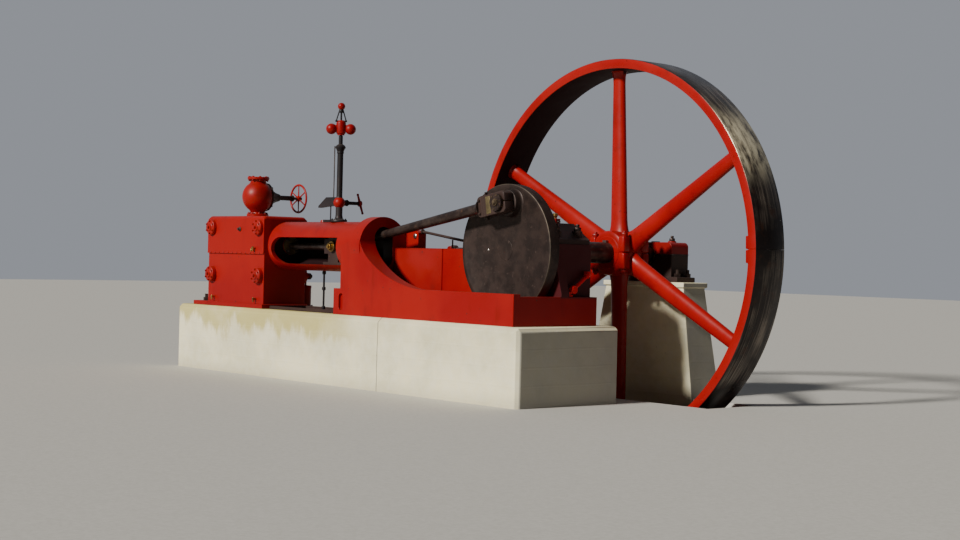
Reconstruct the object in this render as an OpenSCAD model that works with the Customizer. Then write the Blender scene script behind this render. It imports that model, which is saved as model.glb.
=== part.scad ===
// Horizontal side-crank steam engine on its concrete foundation.
// The shaft axis crosses x = 0, the cylinder axis lies on y = 0 and z = 0 is the base of the
// foundation. +X points from the cylinder to the crank, +Y from the crank to the flywheel.

/* [Foundation] */
// Height of the engine block above the ground
block_above_ground = 860; // [700:10:1000]
// Length of the engine block
block_l = 7008; // [6500:1:7600]
// Width of the engine block
block_w = 1543; // [1450:1:1800]
// Distance from the shaft axis to the crank end of the block
block_end = 912; // [850:1:1100]
// Distance from the cylinder axis to the near side of the block
block_near = 432; // [400:1:600]
// Chamfer round the top and the corners of the block
block_chamfer = 48; // [10:1:80]
// Thickness of the footing under the wheel
footing_t = 186; // [100:1:220]
// Clearance between the wheel and the footing
pit_gap = 60; // [40:1:120]
// Half width of the footing
footing_half = 900; // [700:10:1200]

/* [Outboard pier] */
// Height of the shaft axis above the pier cap
shaft_above_pier = 329; // [300:1:400]
// Thickness of the pier cap
pier_cap_t = 60; // [30:1:100]
// Overhang of the pier cap
pier_cap_lip = 25; // [5:1:60]
// Half length of the pier at its top
pier_half = 640; // [550:5:800]
// Width of the pier at its top
pier_w = 380; // [340:5:600]
// Batter of the pier ends from ground to top
pier_batter = 225; // [100:5:300]
// Batter of the pier sides from ground to top
pier_side_batter = 60; // [0:5:100]

/* [Shaft and bearings] */
// Height of the shaft axis above the engine block
shaft_above_block = 821; // [780:1:900]
// Journal diameter in the main bearing
journal_d = 250; // [200:1:280]
// Diameter of the outboard journal
outboard_d = 200; // [160:1:220]
// Running clearance of a journal on the radius
journal_gap = 0.05; // [0.03:0.01:0.1]
// Wall of the main bearing shell
shell_t = 62; // [40:1:80]
// Wall of the outboard bearing shell
outboard_shell_t = 28; // [18:1:34]
// Distance from the cylinder axis to the middle of the outboard bearing
outboard_y = 2608; // [2550:1:2800]
// Width of the outboard bearing
outboard_w = 320; // [240:5:360]
// Length of the outboard bearing base
outboard_l = 1020; // [800:10:1100]
// Half length of the outboard bearing housing
outboard_half = 402; // [300:1:430]
// Height of the outboard bearing above the shaft axis
outboard_rise = 146; // [145:1:200]
// Length of the shaft end beyond the outboard bearing
shaft_stub = 60; // [20:1:120]
// Diameter of the shaft end
stub_d = 170; // [140:1:190]
// Undercut between the journal and the shaft end
stub_undercut = 5; // [2:0.5:10]

/* [Crank] */
// Radius of the crank disc
disc_r = 739; // [700:1:745]
// Thickness of the crank disc
disc_t = 140; // [100:1:150]
// Distance from the cylinder axis to the near face of the disc
disc_y = 168; // [150:1:190]
// Crank radius, half the stroke
crank_r = 533; // [450:1:560]
// Angle of the crank at rest
crank_a = 77.5; // [60:0.5:90]
// Diameter of the crank pin
pin_d = 125; // [100:1:150]
// Diameter of the collar at the end of the crank pin
pin_collar_d = 190; // [140:1:200]
// Thickness of the crank pin collar
pin_collar_t = 26; // [15:1:40]
// Diameter of the boss round the crank pin
pin_boss_d = 290; // [240:1:320]

/* [Connecting rod] */
// Distance between the pins of the rod
rod_l = 3060; // [3000:1:3300]
// Diameter of the rod at the big end
rod_big_d = 124; // [110:1:140]
// Diameter of the rod at its middle
rod_mid_d = 110; // [90:1:118]
// Diameter of the rod at the small end
rod_small_d = 90; // [80:1:105]
// Width of the big end
big_end_w = 130; // [100:1:150]
// Height of the big end
big_end_h = 236; // [200:1:260]
// Length of the big end
big_end_l = 455; // [400:1:470]
// Wall of the big end brasses round the pin
brass_t = 26; // [15:1:35]
// Diameter of the wrist pin
wrist_d = 95; // [80:1:120]
// Free play between the wrist pin and the eye of the rod
wrist_play = 7; // [6:0.5:10]
// Outer diameter of the small end eye
small_end_d = 200; // [180:1:220]
// Width of the small end eye
small_end_w = 110; // [80:1:130]

/* [Crosshead and piston rod] */
// Length of the crosshead shoes
shoe_l = 420; // [350:5:480]
// Width of a crosshead shoe
shoe_w = 230; // [180:5:260]
// Thickness of a crosshead shoe
shoe_t = 60; // [40:1:80]
// Gap between a crosshead shoe and the guide
shoe_gap = 0.5; // [0.3:0.1:1]
// Diameter of the piston rod
piston_rod_d = 90; // [70:1:110]
// Length of the piston rod inside the cylinder
rod_tail = 270; // [250:5:320]
// Travel left between the piston rod and the end of its head
rod_end_gap = 115; // [100:5:160]
// Gap between the piston rod and its gland
gland_gap = 0.5; // [0.3:0.1:1]
// Outer diameter of the gland
gland_d = 190; // [150:1:230]

/* [Bed frame] */
// Distance from the cylinder axis to the near face of the frame
frame_near = 360; // [340:1:380]
// Thickness of the near wall
near_wall_t = 96; // [70:1:110]
// Thickness of the near wall at the mouth
web_t = 230; // [180:1:235]
// Thickness of the web at the low end of the near wall
web_tip_t = 12; // [8:1:30]
// Height of the near wall above the block at the crank end
near_wall_h = 348; // [300:1:400]
// Distance from the shaft axis to where the near wall begins to rise
near_low_x = 845; // [700:5:1000]
// Height of the sweep's top above the shaft axis
sweep_rise = 75; // [60:1:90]
// Distance from the cylinder axis to the near face of the far wall
far_wall_y = 338; // [330:1:345]
// Thickness of the far wall
far_wall_t = 120; // [80:1:160]
// Height of the far wall above the block
far_wall_h = 826; // [780:1:880]
// Place of the far wall's thick inner face at the mouth
far_web_y = 170; // [155:1:200]
// Distance from the shaft at which the far wall's thickening ends
far_web_x = 1300; // [1200:10:1500]
// Height of the far wall's thickening above the base, clear of the nuts under it
far_web_lift = 110; // [100:5:160]
// Distance from the shaft axis to the hump of the far wall
hump_x = 1775; // [1700:5:1850]
// Height of the hump above the far wall
hump_h = 215; // [150:5:240]
// Distance from the shaft axis to the crank end of the frame
frame_end = 751; // [700:1:800]
// Distance from the shaft axis to the leg at the barrel end
frame_leg = 2390; // [2300:1:2450]
// Distance from the shaft axis to the toe of the leg
frame_toe = 2524; // [2480:1:2600]
// Height of the toe above the block
frame_toe_h = 315; // [250:1:380]
// Thickness of the frame base
frame_base_t = 50; // [40:1:70]
// Width of the main bearing jaw
jaw_w = 544; // [450:1:600]
// Height of the end wall above the block
end_wall_h = 320; // [280:1:340]
// Half length of the main bearing jaw
jaw_half = 640; // [560:1:700]
// Height of the jaw above the shaft axis
jaw_rise = 79; // [40:1:120]
// Height of the bearing cap above the jaw
cap_h = 235; // [180:1:280]
// Half length of the bearing cap at its top
cap_top_half = 400; // [320:1:480]
// Diameter of the bar of the bearing adjuster
adjuster_d = 40; // [30:1:50]
// Height of the upper end of the adjuster above the end wall
adjuster_h = 255; // [220:1:290]
// Distance of the upper end of the adjuster from the far face of the jaw
adjuster_in = 82; // [60:1:110]
// Diameter of the knob of the adjuster
knob_d = 96; // [80:1:110]
// Distance of the knob from the foot of the adjuster
knob_out = 70; // [50:1:110]

/* [Guide barrel] */
// Outer radius of the guide barrel
barrel_r = 310; // [295:1:330]
// Radius of the corner at the closed end of the barrel
barrel_corner = 72; // [60:1:150]
// Thickness of the closed end of the barrel
barrel_end_t = 110; // [90:1:130]
// Inner radius of the guide barrel
guide_r = 255; // [240:1:262]
// Distance from the shaft axis to the mouth of the frame
mouth_x = 2014; // [1950:1:2100]
// Outer radius of the mouth ring
mouth_r = 369; // [350:1:380]
// Length of the mouth ring
mouth_l = 190; // [120:5:260]
// Half width of the slot in the mouth, which the rod swings in
slot_half = 140; // [130:1:150]
// Height of the slot's round ends above and below the shaft axis
slot_rise = 250; // [235:1:260]
// Distance from the shaft axis to the square end of the side opening
opening_x = 2571; // [2560:1:2750]
// Distance from the shaft axis to the middle of the round end of the side opening
opening_round_x = 3830; // [3700:1:3840]
// Half height of the side opening
opening_half = 168; // [140:1:170]
// Distance of the middle of the side opening below the shaft axis
opening_drop = 60; // [0:1:75]

/* [Cylinder] */
// Distance from the shaft axis to the crank end of the cylinder
cyl_x = 4122; // [4050:1:4200]
// Length of the cylinder casing
cyl_l = 1372; // [1300:1:1400]
// Distance from the cylinder axis to the near face of the casing
cyl_near = 342; // [320:1:360]
// Distance from the cylinder axis to the far face of the casing
cyl_far = 333; // [310:1:360]
// Height of the casing above the block
cyl_h = 1201; // [1100:1:1300]
// Radius of the top edges of the casing
cyl_round = 50; // [40:1:60]
// Height of the seam along the casing above the block
seam_h = 717; // [670:1:760]
// Step of the upper casing past the lower casing
seam_step = 14; // [6:1:24]
// Thickness of the cylinder foot
foot_t = 56; // [40:1:80]
// Length of the cylinder foot beyond the back of the cylinder
foot_out = 306; // [250:1:360]
// Radius of the valve bonnets
bonnet_r = 102; // [80:1:110]
// Distance of the valve bonnets from the ends of the casing
bonnet_inset = 116; // [112:1:150]
// Height of the upper bonnets above the block
bonnet_high = 1050; // [980:1:1060]
// Height of the lower bonnets above the block
bonnet_low = 425; // [380:1:480]
// Depth of a valve bonnet
bonnet_t = 46; // [30:1:70]
// Depth of a bonnet on the far side
far_bonnet_t = 36; // [30:1:40]

/* [Throttle valve] */
// Distance from the shaft axis to the valve
valve_x = 4806; // [4700:1:4900]
// Height of the valve centre above the casing
valve_rise = 267; // [250:1:330]
// Radius of the valve globe
globe_r = 210; // [180:1:215]
// Radius of the valve flanges
valve_flange_r = 145; // [135:1:165]
// Height of the top flange above the valve centre
valve_top = 261; // [245:1:280]
// Distance from the valve centre to the seat of the valve's bonnet
bonnet_seat = 110; // [95:1:125]
// Radius of the bonnet of the valve at its flange
bonnet_cone_r = 186; // [175:1:195]
// Thickness of the flange of the bonnet
bonnet_flange_t = 26; // [18:1:34]
// Radius of the bell of the bonnet beside its flange
bell_r = 152; // [130:1:165]
// Radius of the bell at its small end
bell_tip_r = 50; // [44:1:60]
// Radius of the neck of the bonnet
bonnet_neck_r = 32; // [26:1:38]
// Distance from the valve centre to the small end of the bell
bonnet_reach = 335; // [310:1:400]
// Distance from the valve centre to the end of the stem's gland
gland_reach = 560; // [520:1:580]
// Distance from the valve centre to the handwheel
wheel_reach = 650; // [620:1:700]
// Radius of the handwheel
handwheel_r = 200; // [160:1:230]
// Section diameter of the handwheel rim
handwheel_rim_d = 30; // [22:1:40]
// Diameter of the valve stem
stem_d = 36; // [28:1:44]
// Clearance of the valve stem in its gland
stem_gap = 0.1; // [0.05:0.01:0.2]

/* [Fastenings] */
// Width of a foundation nut over its corners
nut_w = 80; // [60:1:100]
// Height of a foundation nut
nut_h = 44; // [30:1:60]
// Diameter of a foundation stud
stud_d = 42; // [30:1:54]
// Height of a foundation stud
stud_h = 90; // [60:1:120]
// Distance between the nuts of the bed frame
nut_pitch = 400; // [300:5:450]
// Distance of the first nut from the low end of the near wall
nut_inset = 155; // [100:5:200]
// Distance of the other nuts from the edge that they hold down
nut_edge = 110; // [90:1:140]

/* [Flywheel] */
// Radius of the flywheel
wheel_r = 2285; // [2200:1:2290]
// Thickness of the rim
rim_t = 113; // [80:1:160]
// Width of the rim
rim_w = 484; // [420:1:540]
// Distance from the cylinder axis to the near face of the rim
rim_y = 1741; // [1700:1:1780]
// Angle of the wheel at rest
wheel_a = 1.86; // [0:0.01:5]
// Spoke width at the hub
spoke_root_w = 236; // [200:1:260]
// Spoke width at the rim
spoke_tip_w = 168; // [130:1:200]
// Spoke thickness at the hub
spoke_root_t = 150; // [110:1:180]
// Spoke thickness at the rim
spoke_tip_t = 112; // [80:1:140]
// Radius of the hub
hub_r = 265; // [230:1:300]
// Length of the hub
hub_l = 432; // [360:1:480]
// Half width over the clamping lugs of the hub
lug_half = 285; // [270:1:320]
// Half height of a clamping lug
lug_h = 195; // [150:1:230]
// Length of a rim joint lug
rim_lug_l = 150; // [100:1:200]
// Half width of a rim joint lug
rim_lug_w = 150; // [120:1:180]
// Depth of a rim joint lug inside the rim
rim_lug_in = 106; // [90:1:130]
// Distance of the joint bolts inside the rim
joint_in = 56; // [45:1:65]
// Half distance between the joint bolts
joint_half = 80; // [60:1:95]
// Diameter of the joint bolts
joint_bolt_d = 40; // [30:1:50]
// Width of a joint nut over its corners
joint_nut_w = 78; // [60:1:90]
// Height of a joint nut
joint_nut_h = 34; // [24:1:44]
// Width of a hub nut over its corners
hub_nut_w = 86; // [60:1:95]
// Height of a hub nut
hub_nut_h = 40; // [28:1:50]
// Distance of the hub nuts from the shaft axis
hub_nut_x = 240; // [225:1:250]

/* [Eccentric and valve gear] */
// Throw of the eccentric
ecc_throw = 90; // [60:1:110]
// Radius of the eccentric sheave
sheave_r = 280; // [260:1:300]
// Width of the eccentric sheave
sheave_w = 90; // [60:1:120]
// Distance from the cylinder axis to the middle of the eccentric
sheave_y = 1010; // [980:1:1080]
// Running clearance between sheave and strap
strap_gap = 0.1; // [0.05:0.01:0.3]
// Wall of the eccentric strap
strap_t = 52; // [40:1:70]
// Distance from the shaft axis to the rocker
rocker_x = 1900; // [1800:1:2000]
// Diameter of the eccentric rod
ecc_rod_d = 52; // [40:1:60]
// Diameter of the rocker pins
rocker_pin_d = 46; // [36:1:56]
// Free play between the rocker pin and the eye of the eccentric rod
rocker_play = 2; // [1:0.5:4]
// Diameter of the eye of the eccentric rod
ecc_eye_d = 110; // [90:1:130]
// Width of the eye of the eccentric rod
ecc_eye_w = 60; // [50:1:70]
// Radius of the wrist plate
plate_r = 235; // [200:1:260]
// Distance from the cylinder axis to the wrist plate
plate_y = 440; // [430:1:470]
// Thickness of the wrist plate
plate_t = 36; // [24:1:50]
// Diameter of the valve rods
valve_rod_d = 26; // [20:1:34]
// Length of the valve cranks
valve_crank_l = 170; // [140:1:200]
// Diameter of a dash pot
dash_d = 150; // [120:1:160]
// Height of a dash pot
dash_h = 300; // [240:1:360]

/* [Governor] */
// Distance from the shaft axis to the governor
gov_x = 2952; // [2880:1:3020]
// Diameter of the governor column
gov_col_d = 74; // [60:1:90]
// Height of the column above the barrel axis
gov_col_h = 1385; // [1300:1:1450]
// Diameter of the governor foot
gov_foot_d = 210; // [170:1:240]
// Diameter of the spindle
gov_spindle_d = 24; // [18:1:30]
// Clearance of the spindle in the column
spindle_gap = 0.1; // [0.05:0.01:0.2]
// Radius of a governor ball
ball_r = 68; // [50:1:76]
// Distance of a ball from the spindle
ball_out = 118; // [105:1:160]
// Radius of the top ball
top_ball_r = 46; // [36:1:56]
// Height of the top ball above the barrel axis
top_ball_h = 1751; // [1700:1:1800]
// Height of the balls above the barrel axis
ball_h = 1468; // [1440:1:1500]
// Thickness of the governor foot
gov_foot_t = 50; // [30:1:70]
// Length of the thin neck of the column
gov_neck_l = 110; // [80:1:140]
// Diameter of the thin neck of the column
gov_neck_d = 52; // [40:1:60]
// Length of the collar of the column
gov_collar_l = 110; // [80:1:140]
// How far the collar stands out of the column
gov_collar_out = 28; // [15:1:40]
// Radius of the boss round the cross shaft
cross_boss_r = 68; // [55:1:80]
// Length of the boss along the cross shaft
cross_boss_l = 120; // [90:1:150]
// Height of the cross shaft above the barrel axis
cross_h = 550; // [500:1:600]
// Diameter of the cross shaft
cross_d = 44; // [36:1:50]
// Length of the governor lever
lever_l = 250; // [200:5:300]
// Width of the governor's hood
hood_w = 60; // [50:1:70]
// Height of the hood above the cross shaft
hood_rise = 69; // [55:1:80]
// Length of the hood from the governor
hood_l = 410; // [380:1:430]
// Distance from the governor to the post of the hood
hood_post_x = 179; // [170:1:200]
// Distance from the governor to the far end of the post's base
hood_base_l = 255; // [230:1:340]
// Distance from the governor to its lever
lever_out = 320; // [280:1:340]

/* [Hidden] */
shaft_h = footing_t + pit_gap + wheel_r;
block_h = shaft_h - shaft_above_block;
ground_z = block_h - block_above_ground;
pier_top = shaft_h - shaft_above_pier;
pier_h = pier_top - pier_cap_t;
block_far = block_w - block_near;
disc_back = disc_y + disc_t;
frame_far = far_wall_y + jaw_w;
spoke_y = rim_y + rim_w / 2;
hub_near = spoke_y - hub_l / 2;
hub_far = spoke_y + hub_l / 2;
outboard_near = outboard_y - outboard_w / 2;
outboard_far = outboard_y + outboard_w / 2;
shell_r = journal_d / 2 + journal_gap + shell_t;
outboard_shell_r = outboard_d / 2 + journal_gap + outboard_shell_t;
pin_x = crank_r * cos(crank_a);
pin_z = shaft_h + crank_r * sin(crank_a);
rod_a = asin(crank_r * sin(crank_a) / rod_l);
wrist_x = pin_x - rod_l * cos(rod_a);
guide_end = cyl_x - barrel_end_t;
cyl_top = block_h + cyl_h;
cyl_back = cyl_x + cyl_l;
foot_x = cyl_back + foot_out;
head_l = rod_tail + rod_end_gap + 15;
valve_z = cyl_top + valve_rise;
barrel_top = shaft_h + barrel_r;
jaw_top = shaft_h + jaw_rise;
sheave_x = -ecc_throw;

// Cylinder of diameter d lying along Y, from y0 to y1, at (x, z)
module y_bar(x, z, y0, y1, d, facets = 48) {
  translate([x, y0, z]) rotate([-90, 0, 0]) cylinder(h = y1 - y0, d = d, $fn = facets);
}

// Cylinder of diameter d lying along X, from x0 to x1, at (y, z)
module x_bar(y, z, x0, x1, d) {
  translate([x0, y, z]) rotate([0, 90, 0]) cylinder(h = x1 - x0, d = d, $fn = 48);
}

// Box given by its two corners
module box(x0, x1, y0, y1, z0, z1) {
  translate([x0, y0, z0]) cube([x1 - x0, y1 - y0, z1 - z0]);
}

// Profile drawn in x and z, extruded from y0 to y1
module side_profile(y0, y1) {
  translate([0, y1, 0]) rotate([90, 0, 0]) linear_extrude(height = y1 - y0) children();
}

// Straight round bar between two points
module bar_between(a, b, d) {
  v = b - a;
  l = norm(v);
  translate(a)
    rotate([0, acos(v[2] / l), atan2(v[1], v[0])])
      cylinder(h = l, d = d, $fn = 24);
}

// Body turned by a about the shaft axis, counter-clockwise seen from the near side
module about_shaft(a) {
  translate([0, 0, shaft_h]) rotate([0, -a, 0]) children();
}

module foundation_block() {
  c = block_chamfer;
  color([0.85, 0.82, 0.74])
    hull() {
      box(block_end - block_l + c, block_end - c, -block_near, block_far, 0, block_h - c);
      box(block_end - block_l, block_end, c - block_near, block_far - c, 0, block_h - c);
      box(block_end - block_l + c, block_end - c, c - block_near, block_far - c, 0, block_h);
    }
}

module wheel_pit_footing() {
  color([0.62, 0.6, 0.55])
    box(-footing_half, footing_half, block_far, outboard_y - pier_w / 2 - pier_side_batter,
        0, footing_t);
}

module outboard_pier() {
  b = pier_batter;
  s = pier_side_batter;
  y0 = outboard_y - pier_w / 2;
  y1 = outboard_y + pier_w / 2;
  lip = pier_cap_lip;
  color([0.85, 0.82, 0.74]) {
    box(-pier_half - b, pier_half + b, y0 - s, y1 + s, 0, ground_z);
    hull() {
      box(-pier_half - b, pier_half + b, y0 - s, y1 + s, ground_z - 1, ground_z);
      box(-pier_half, pier_half, y0, y1, pier_h - 1, pier_h);
    }
    box(-pier_half - lip, pier_half + lip, y0 - lip, y1 + lip, pier_h, pier_top);
  }
}

// Outline of the near wall: low at the crank end, sweeping up to the mouth of the barrel
module near_wall_outline() {
  rise_x = mouth_x - near_low_x;
  base = block_h + near_wall_h;
  rise_z = shaft_h + sweep_rise - base;
  sweep = [for (a = [0 : 5 : 90])
    [-near_low_x - rise_x * pow(sin(a), 1.25), base + rise_z * (1 - pow(cos(a), 1.25))]];
  polygon(concat(
    [[-frame_leg, block_h], [frame_end, block_h], [frame_end, base]],
    sweep,
    [[-mouth_x - mouth_l, shaft_h + sweep_rise], [-frame_leg, shaft_h + 20]]
  ));
}

// Web that thickens the near wall towards the mouth
module near_wall_web() {
  inner = near_wall_t - frame_near;
  color([0.75, 0.13, 0.1])
    intersection() {
      side_profile(inner, web_t - frame_near) near_wall_outline();
      translate([0, 0, block_h + frame_base_t])
        linear_extrude(height = shaft_h + mouth_r - block_h)
          polygon([
            [-near_low_x, inner], [-near_low_x, inner + web_tip_t],
            [-mouth_x, web_t - frame_near], [-mouth_x, inner]
          ]);
    }
}

// Web that thickens the far wall towards the mouth
module far_wall_web() {
  color([0.75, 0.13, 0.1])
    translate([0, 0, block_h + frame_base_t + far_web_lift])
      linear_extrude(height = far_wall_h - frame_base_t - far_web_lift)
        polygon([
          [-mouth_x, far_wall_y], [-mouth_x, far_web_y],
          [-far_web_x, far_wall_y - web_tip_t], [-far_web_x, far_wall_y]
        ]);
}

// Ring that ends the guide, closed but for a slot that the rod swings in
module guide_mouth_ring() {
  rise = slot_rise - slot_half;
  color([0.75, 0.13, 0.1])
    difference() {
      x_bar(0, shaft_h, -mouth_x - mouth_l, -mouth_x, 2 * mouth_r);
      for (z = [shaft_h - rise, shaft_h + rise])
        x_bar(0, z, -mouth_x - mouth_l - 5, -mouth_x + 5, 2 * slot_half);
      box(-mouth_x - mouth_l - 5, -mouth_x + 5, -slot_half, slot_half, shaft_h - rise,
          shaft_h + rise);
    }
}

// Outline of the far wall: level at the shaft, with a hump beside the mouth
module far_wall_outline() {
  top = block_h + far_wall_h;
  polygon([
    [-frame_leg, block_h], [frame_end, block_h], [frame_end, top - 470],
    [jaw_half, top - 120], [jaw_half, top], [-hump_x, top], [-hump_x, top + hump_h - 30],
    [-hump_x - 40, top + hump_h], [-mouth_x, top + hump_h], [-frame_leg, shaft_h + 20]
  ]);
}

module bed_frame() {
  bore_r = shell_r;
  color([0.75, 0.13, 0.1])
    difference() {
      union() {
        side_profile(-frame_near, near_wall_t - frame_near) near_wall_outline();
        side_profile(far_wall_y, far_wall_y + far_wall_t) far_wall_outline();
        box(-frame_leg, frame_end, -frame_near, far_wall_y + far_wall_t, block_h,
            block_h + frame_base_t);
        box(-jaw_half - 110, frame_end, far_wall_y, frame_far, block_h, block_h + 120);
        box(-jaw_half, jaw_half, far_wall_y, frame_far, block_h, jaw_top);
        box(frame_end - 90, frame_end, -frame_near, frame_far, block_h,
            block_h + end_wall_h);
        box(-frame_leg, 110 - frame_leg, -frame_near, far_wall_y + far_wall_t, block_h,
            shaft_h - barrel_r + 60);
        box(-frame_toe, -frame_leg + 10, -frame_near, -frame_near + 190, block_h,
            block_h + frame_toe_h);
        box(-frame_toe, -frame_leg + 10, far_wall_y + far_wall_t - 190,
            far_wall_y + far_wall_t, block_h, block_h + frame_toe_h);
        box(-mouth_x - 60, -mouth_x, near_wall_t - frame_near - 1, far_wall_y + 1, block_h,
            shaft_h - barrel_r + 30);
      }
      x_bar(0, shaft_h, -mouth_x - mouth_l, -mouth_x, 2 * mouth_r);
      x_bar(0, shaft_h, -frame_toe - 5, -mouth_x - mouth_l, 2 * barrel_r);
      y_bar(0, shaft_h, far_wall_y - 5, frame_far + 5, 2 * bore_r);
      box(-bore_r, bore_r, far_wall_y - 5, frame_far + 5, shaft_h, jaw_top + 5);
      for (z = [block_h + 95, block_h + 215])
        y_bar(-frame_toe + 150, z, -frame_near - 5, -frame_near + 28, 84);
      box(-frame_toe + 108, -frame_toe + 192, -frame_near - 5, -frame_near + 28,
          block_h + 95, block_h + 215);
    }
}

// Half outline of the barrel: along from the mouth ring to the round corner of its end
module barrel_outline() {
  straight = cyl_x - barrel_corner - mouth_x - mouth_l;
  flat_r = barrel_r - barrel_corner;
  corner = [for (a = [0 : 7.5 : 90])
    [flat_r + barrel_corner * cos(a), straight + barrel_corner * sin(a)]];
  polygon(concat([[0, 0], [barrel_r, 0]], corner, [[0, straight + barrel_corner]]));
}

module guide_barrel() {
  z = shaft_h - opening_drop;
  color([0.75, 0.13, 0.1])
    difference() {
      translate([-mouth_x - mouth_l, 0, shaft_h]) rotate([0, -90, 0])
        rotate_extrude($fn = 96)
          barrel_outline();
      x_bar(0, shaft_h, -guide_end, -mouth_x + 5, 2 * guide_r);
      x_bar(0, shaft_h, -cyl_x - 5, -guide_end + 5, gland_d + 40);
      box(-opening_round_x, -opening_x, -barrel_r - 5, -guide_r / 4,
          z - opening_half, z + opening_half);
      y_bar(-opening_round_x, z, -barrel_r - 5, -guide_r / 4, 2 * opening_half);
    }
}

module cylinder_casting() {
  r = cyl_round;
  s = seam_step;
  color([0.75, 0.13, 0.1])
    difference() {
      union() {
        box(-cyl_back + s, -cyl_x, -cyl_near + s, cyl_far - s, block_h, block_h + seam_h);
        hull() {
          box(-cyl_back, -cyl_x, -cyl_near, cyl_far, block_h + seam_h, cyl_top - r);
          for (x = [-cyl_back + r, -cyl_x - r])
            for (y = [-cyl_near + r, cyl_far - r])
              translate([x, y, cyl_top - r]) sphere(r = r, $fn = 24);
        }
        box(-foot_x, -cyl_x + 20, -frame_near, cyl_far + 20, block_h, block_h + foot_t);
        box(-cyl_x - 210, -cyl_x, -cyl_near + s, cyl_far - s, block_h + foot_t,
            block_h + foot_t + 130);
      }
      x_bar(0, shaft_h, -cyl_back - 5, -cyl_back + 30, 2 * 250);
      x_bar(0, shaft_h, -cyl_x - head_l, -cyl_x + 5, gland_d + 40);
    }
}

module cylinder_back_head() {
  color([0.7, 0.12, 0.1]) {
    x_bar(0, shaft_h, -cyl_back - 60, -cyl_back + 30, 2 * 250);
    x_bar(0, shaft_h, -cyl_back - 88, -cyl_back - 60, 2 * 150);
  }
}

module cylinder_front_head() {
  bore = piston_rod_d + 2 * gland_gap;
  color([0.6, 0.11, 0.09])
    difference() {
      x_bar(0, shaft_h, -cyl_x - head_l, -guide_end + 8, gland_d + 40);
      x_bar(0, shaft_h, -cyl_x - rod_tail - rod_end_gap, -guide_end + 20, bore + 16);
      x_bar(0, shaft_h, -cyl_x + 20, -guide_end + 20, gland_d + 2 * gland_gap);
    }
}

module piston_rod_gland() {
  color([0.72, 0.58, 0.26])
    difference() {
      union() {
        x_bar(0, shaft_h, -cyl_x + 20, -guide_end + 8, gland_d);
        x_bar(0, shaft_h, -guide_end + 8, -guide_end + 34, gland_d + 36);
      }
      x_bar(0, shaft_h, -cyl_x, -guide_end + 40, piston_rod_d + 2 * gland_gap);
    }
}

module near_valve_covers() {
  color([0.72, 0.12, 0.1])
    for (x = [-cyl_x - bonnet_inset, -cyl_back + bonnet_inset])
      for (z = [bonnet_low, bonnet_high]) {
        seat = z < seam_h ? seam_step : 0;
        y_bar(x, block_h + z, -cyl_near - bonnet_t, -cyl_near + seat, 2 * bonnet_r);
        y_bar(x, block_h + z, -cyl_near - bonnet_t - 18, -cyl_near - bonnet_t, bonnet_r);
      }
}

module far_valve_bonnets() {
  color([0.6, 0.11, 0.09])
    for (x = [-cyl_x - bonnet_inset, -cyl_back + bonnet_inset])
      for (z = [bonnet_low, bonnet_high]) {
        seat = z < seam_h ? seam_step : 0;
        y_bar(x, block_h + z, cyl_far - seat, cyl_far + far_bonnet_t, 2 * bonnet_r);
        y_bar(x, block_h + z, cyl_far + far_bonnet_t, cyl_far + far_bonnet_t + 24, 92);
        y_bar(x, block_h + z, cyl_far + far_bonnet_t + 24, plate_y + 12, 50);
      }
}

module throttle_body() {
  color([0.72, 0.12, 0.1])
    difference() {
      union() {
        intersection() {
          translate([-valve_x, 0, valve_z]) sphere(r = globe_r, $fn = 48);
          y_bar(-valve_x, valve_z, -globe_r - 5, bonnet_seat, 2 * globe_r + 20);
        }
        translate([-valve_x, 0, cyl_top + 34])
          cylinder(h = valve_rise - 34, r = 88, $fn = 40);
        translate([-valve_x, 0, cyl_top]) cylinder(h = 34, r = valve_flange_r, $fn = 40);
        translate([-valve_x, 0, valve_z])
          cylinder(h = valve_top - 30, r = 96, $fn = 40);
        translate([-valve_x, 0, valve_z + valve_top - 34])
          cylinder(h = 34, r = valve_flange_r, $fn = 40);
      }
      translate([-valve_x, 0, valve_z + 60]) cylinder(h = valve_top, r = 62, $fn = 40);
      y_bar(-valve_x, valve_z, 60, globe_r + 30, stem_d + 20);
    }
}

// Half outline of the valve's bonnet: flange, hollow-sided bell, neck and gland
module bonnet_outline() {
  bell_0 = bonnet_seat + bonnet_flange_t;
  bell = [for (t = [0 : 0.125 : 1])
    [bell_tip_r + (bell_r - bell_tip_r) * pow(1 - t, 1.7), bell_0 + (bonnet_reach - bell_0) * t]];
  polygon(concat(
    [[0, bonnet_seat], [bonnet_cone_r, bonnet_seat], [bonnet_cone_r, bell_0]],
    bell,
    [[bonnet_neck_r, bonnet_reach], [bonnet_neck_r, gland_reach - 30],
     [bonnet_neck_r + 10, gland_reach - 30], [bonnet_neck_r + 10, gland_reach],
     [0, gland_reach]]
  ));
}

module throttle_bonnet() {
  color([0.35, 0.1, 0.09])
    difference() {
      translate([-valve_x, 0, valve_z]) rotate([-90, 0, 0])
        rotate_extrude($fn = 64)
          bonnet_outline();
      y_bar(-valve_x, valve_z, bonnet_seat - 5, gland_reach + 5, stem_d + 2 * stem_gap);
    }
}

module throttle_stem() {
  color([0.42, 0.36, 0.34])
    y_bar(-valve_x, valve_z, 70, wheel_reach + 34, stem_d);
}

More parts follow.
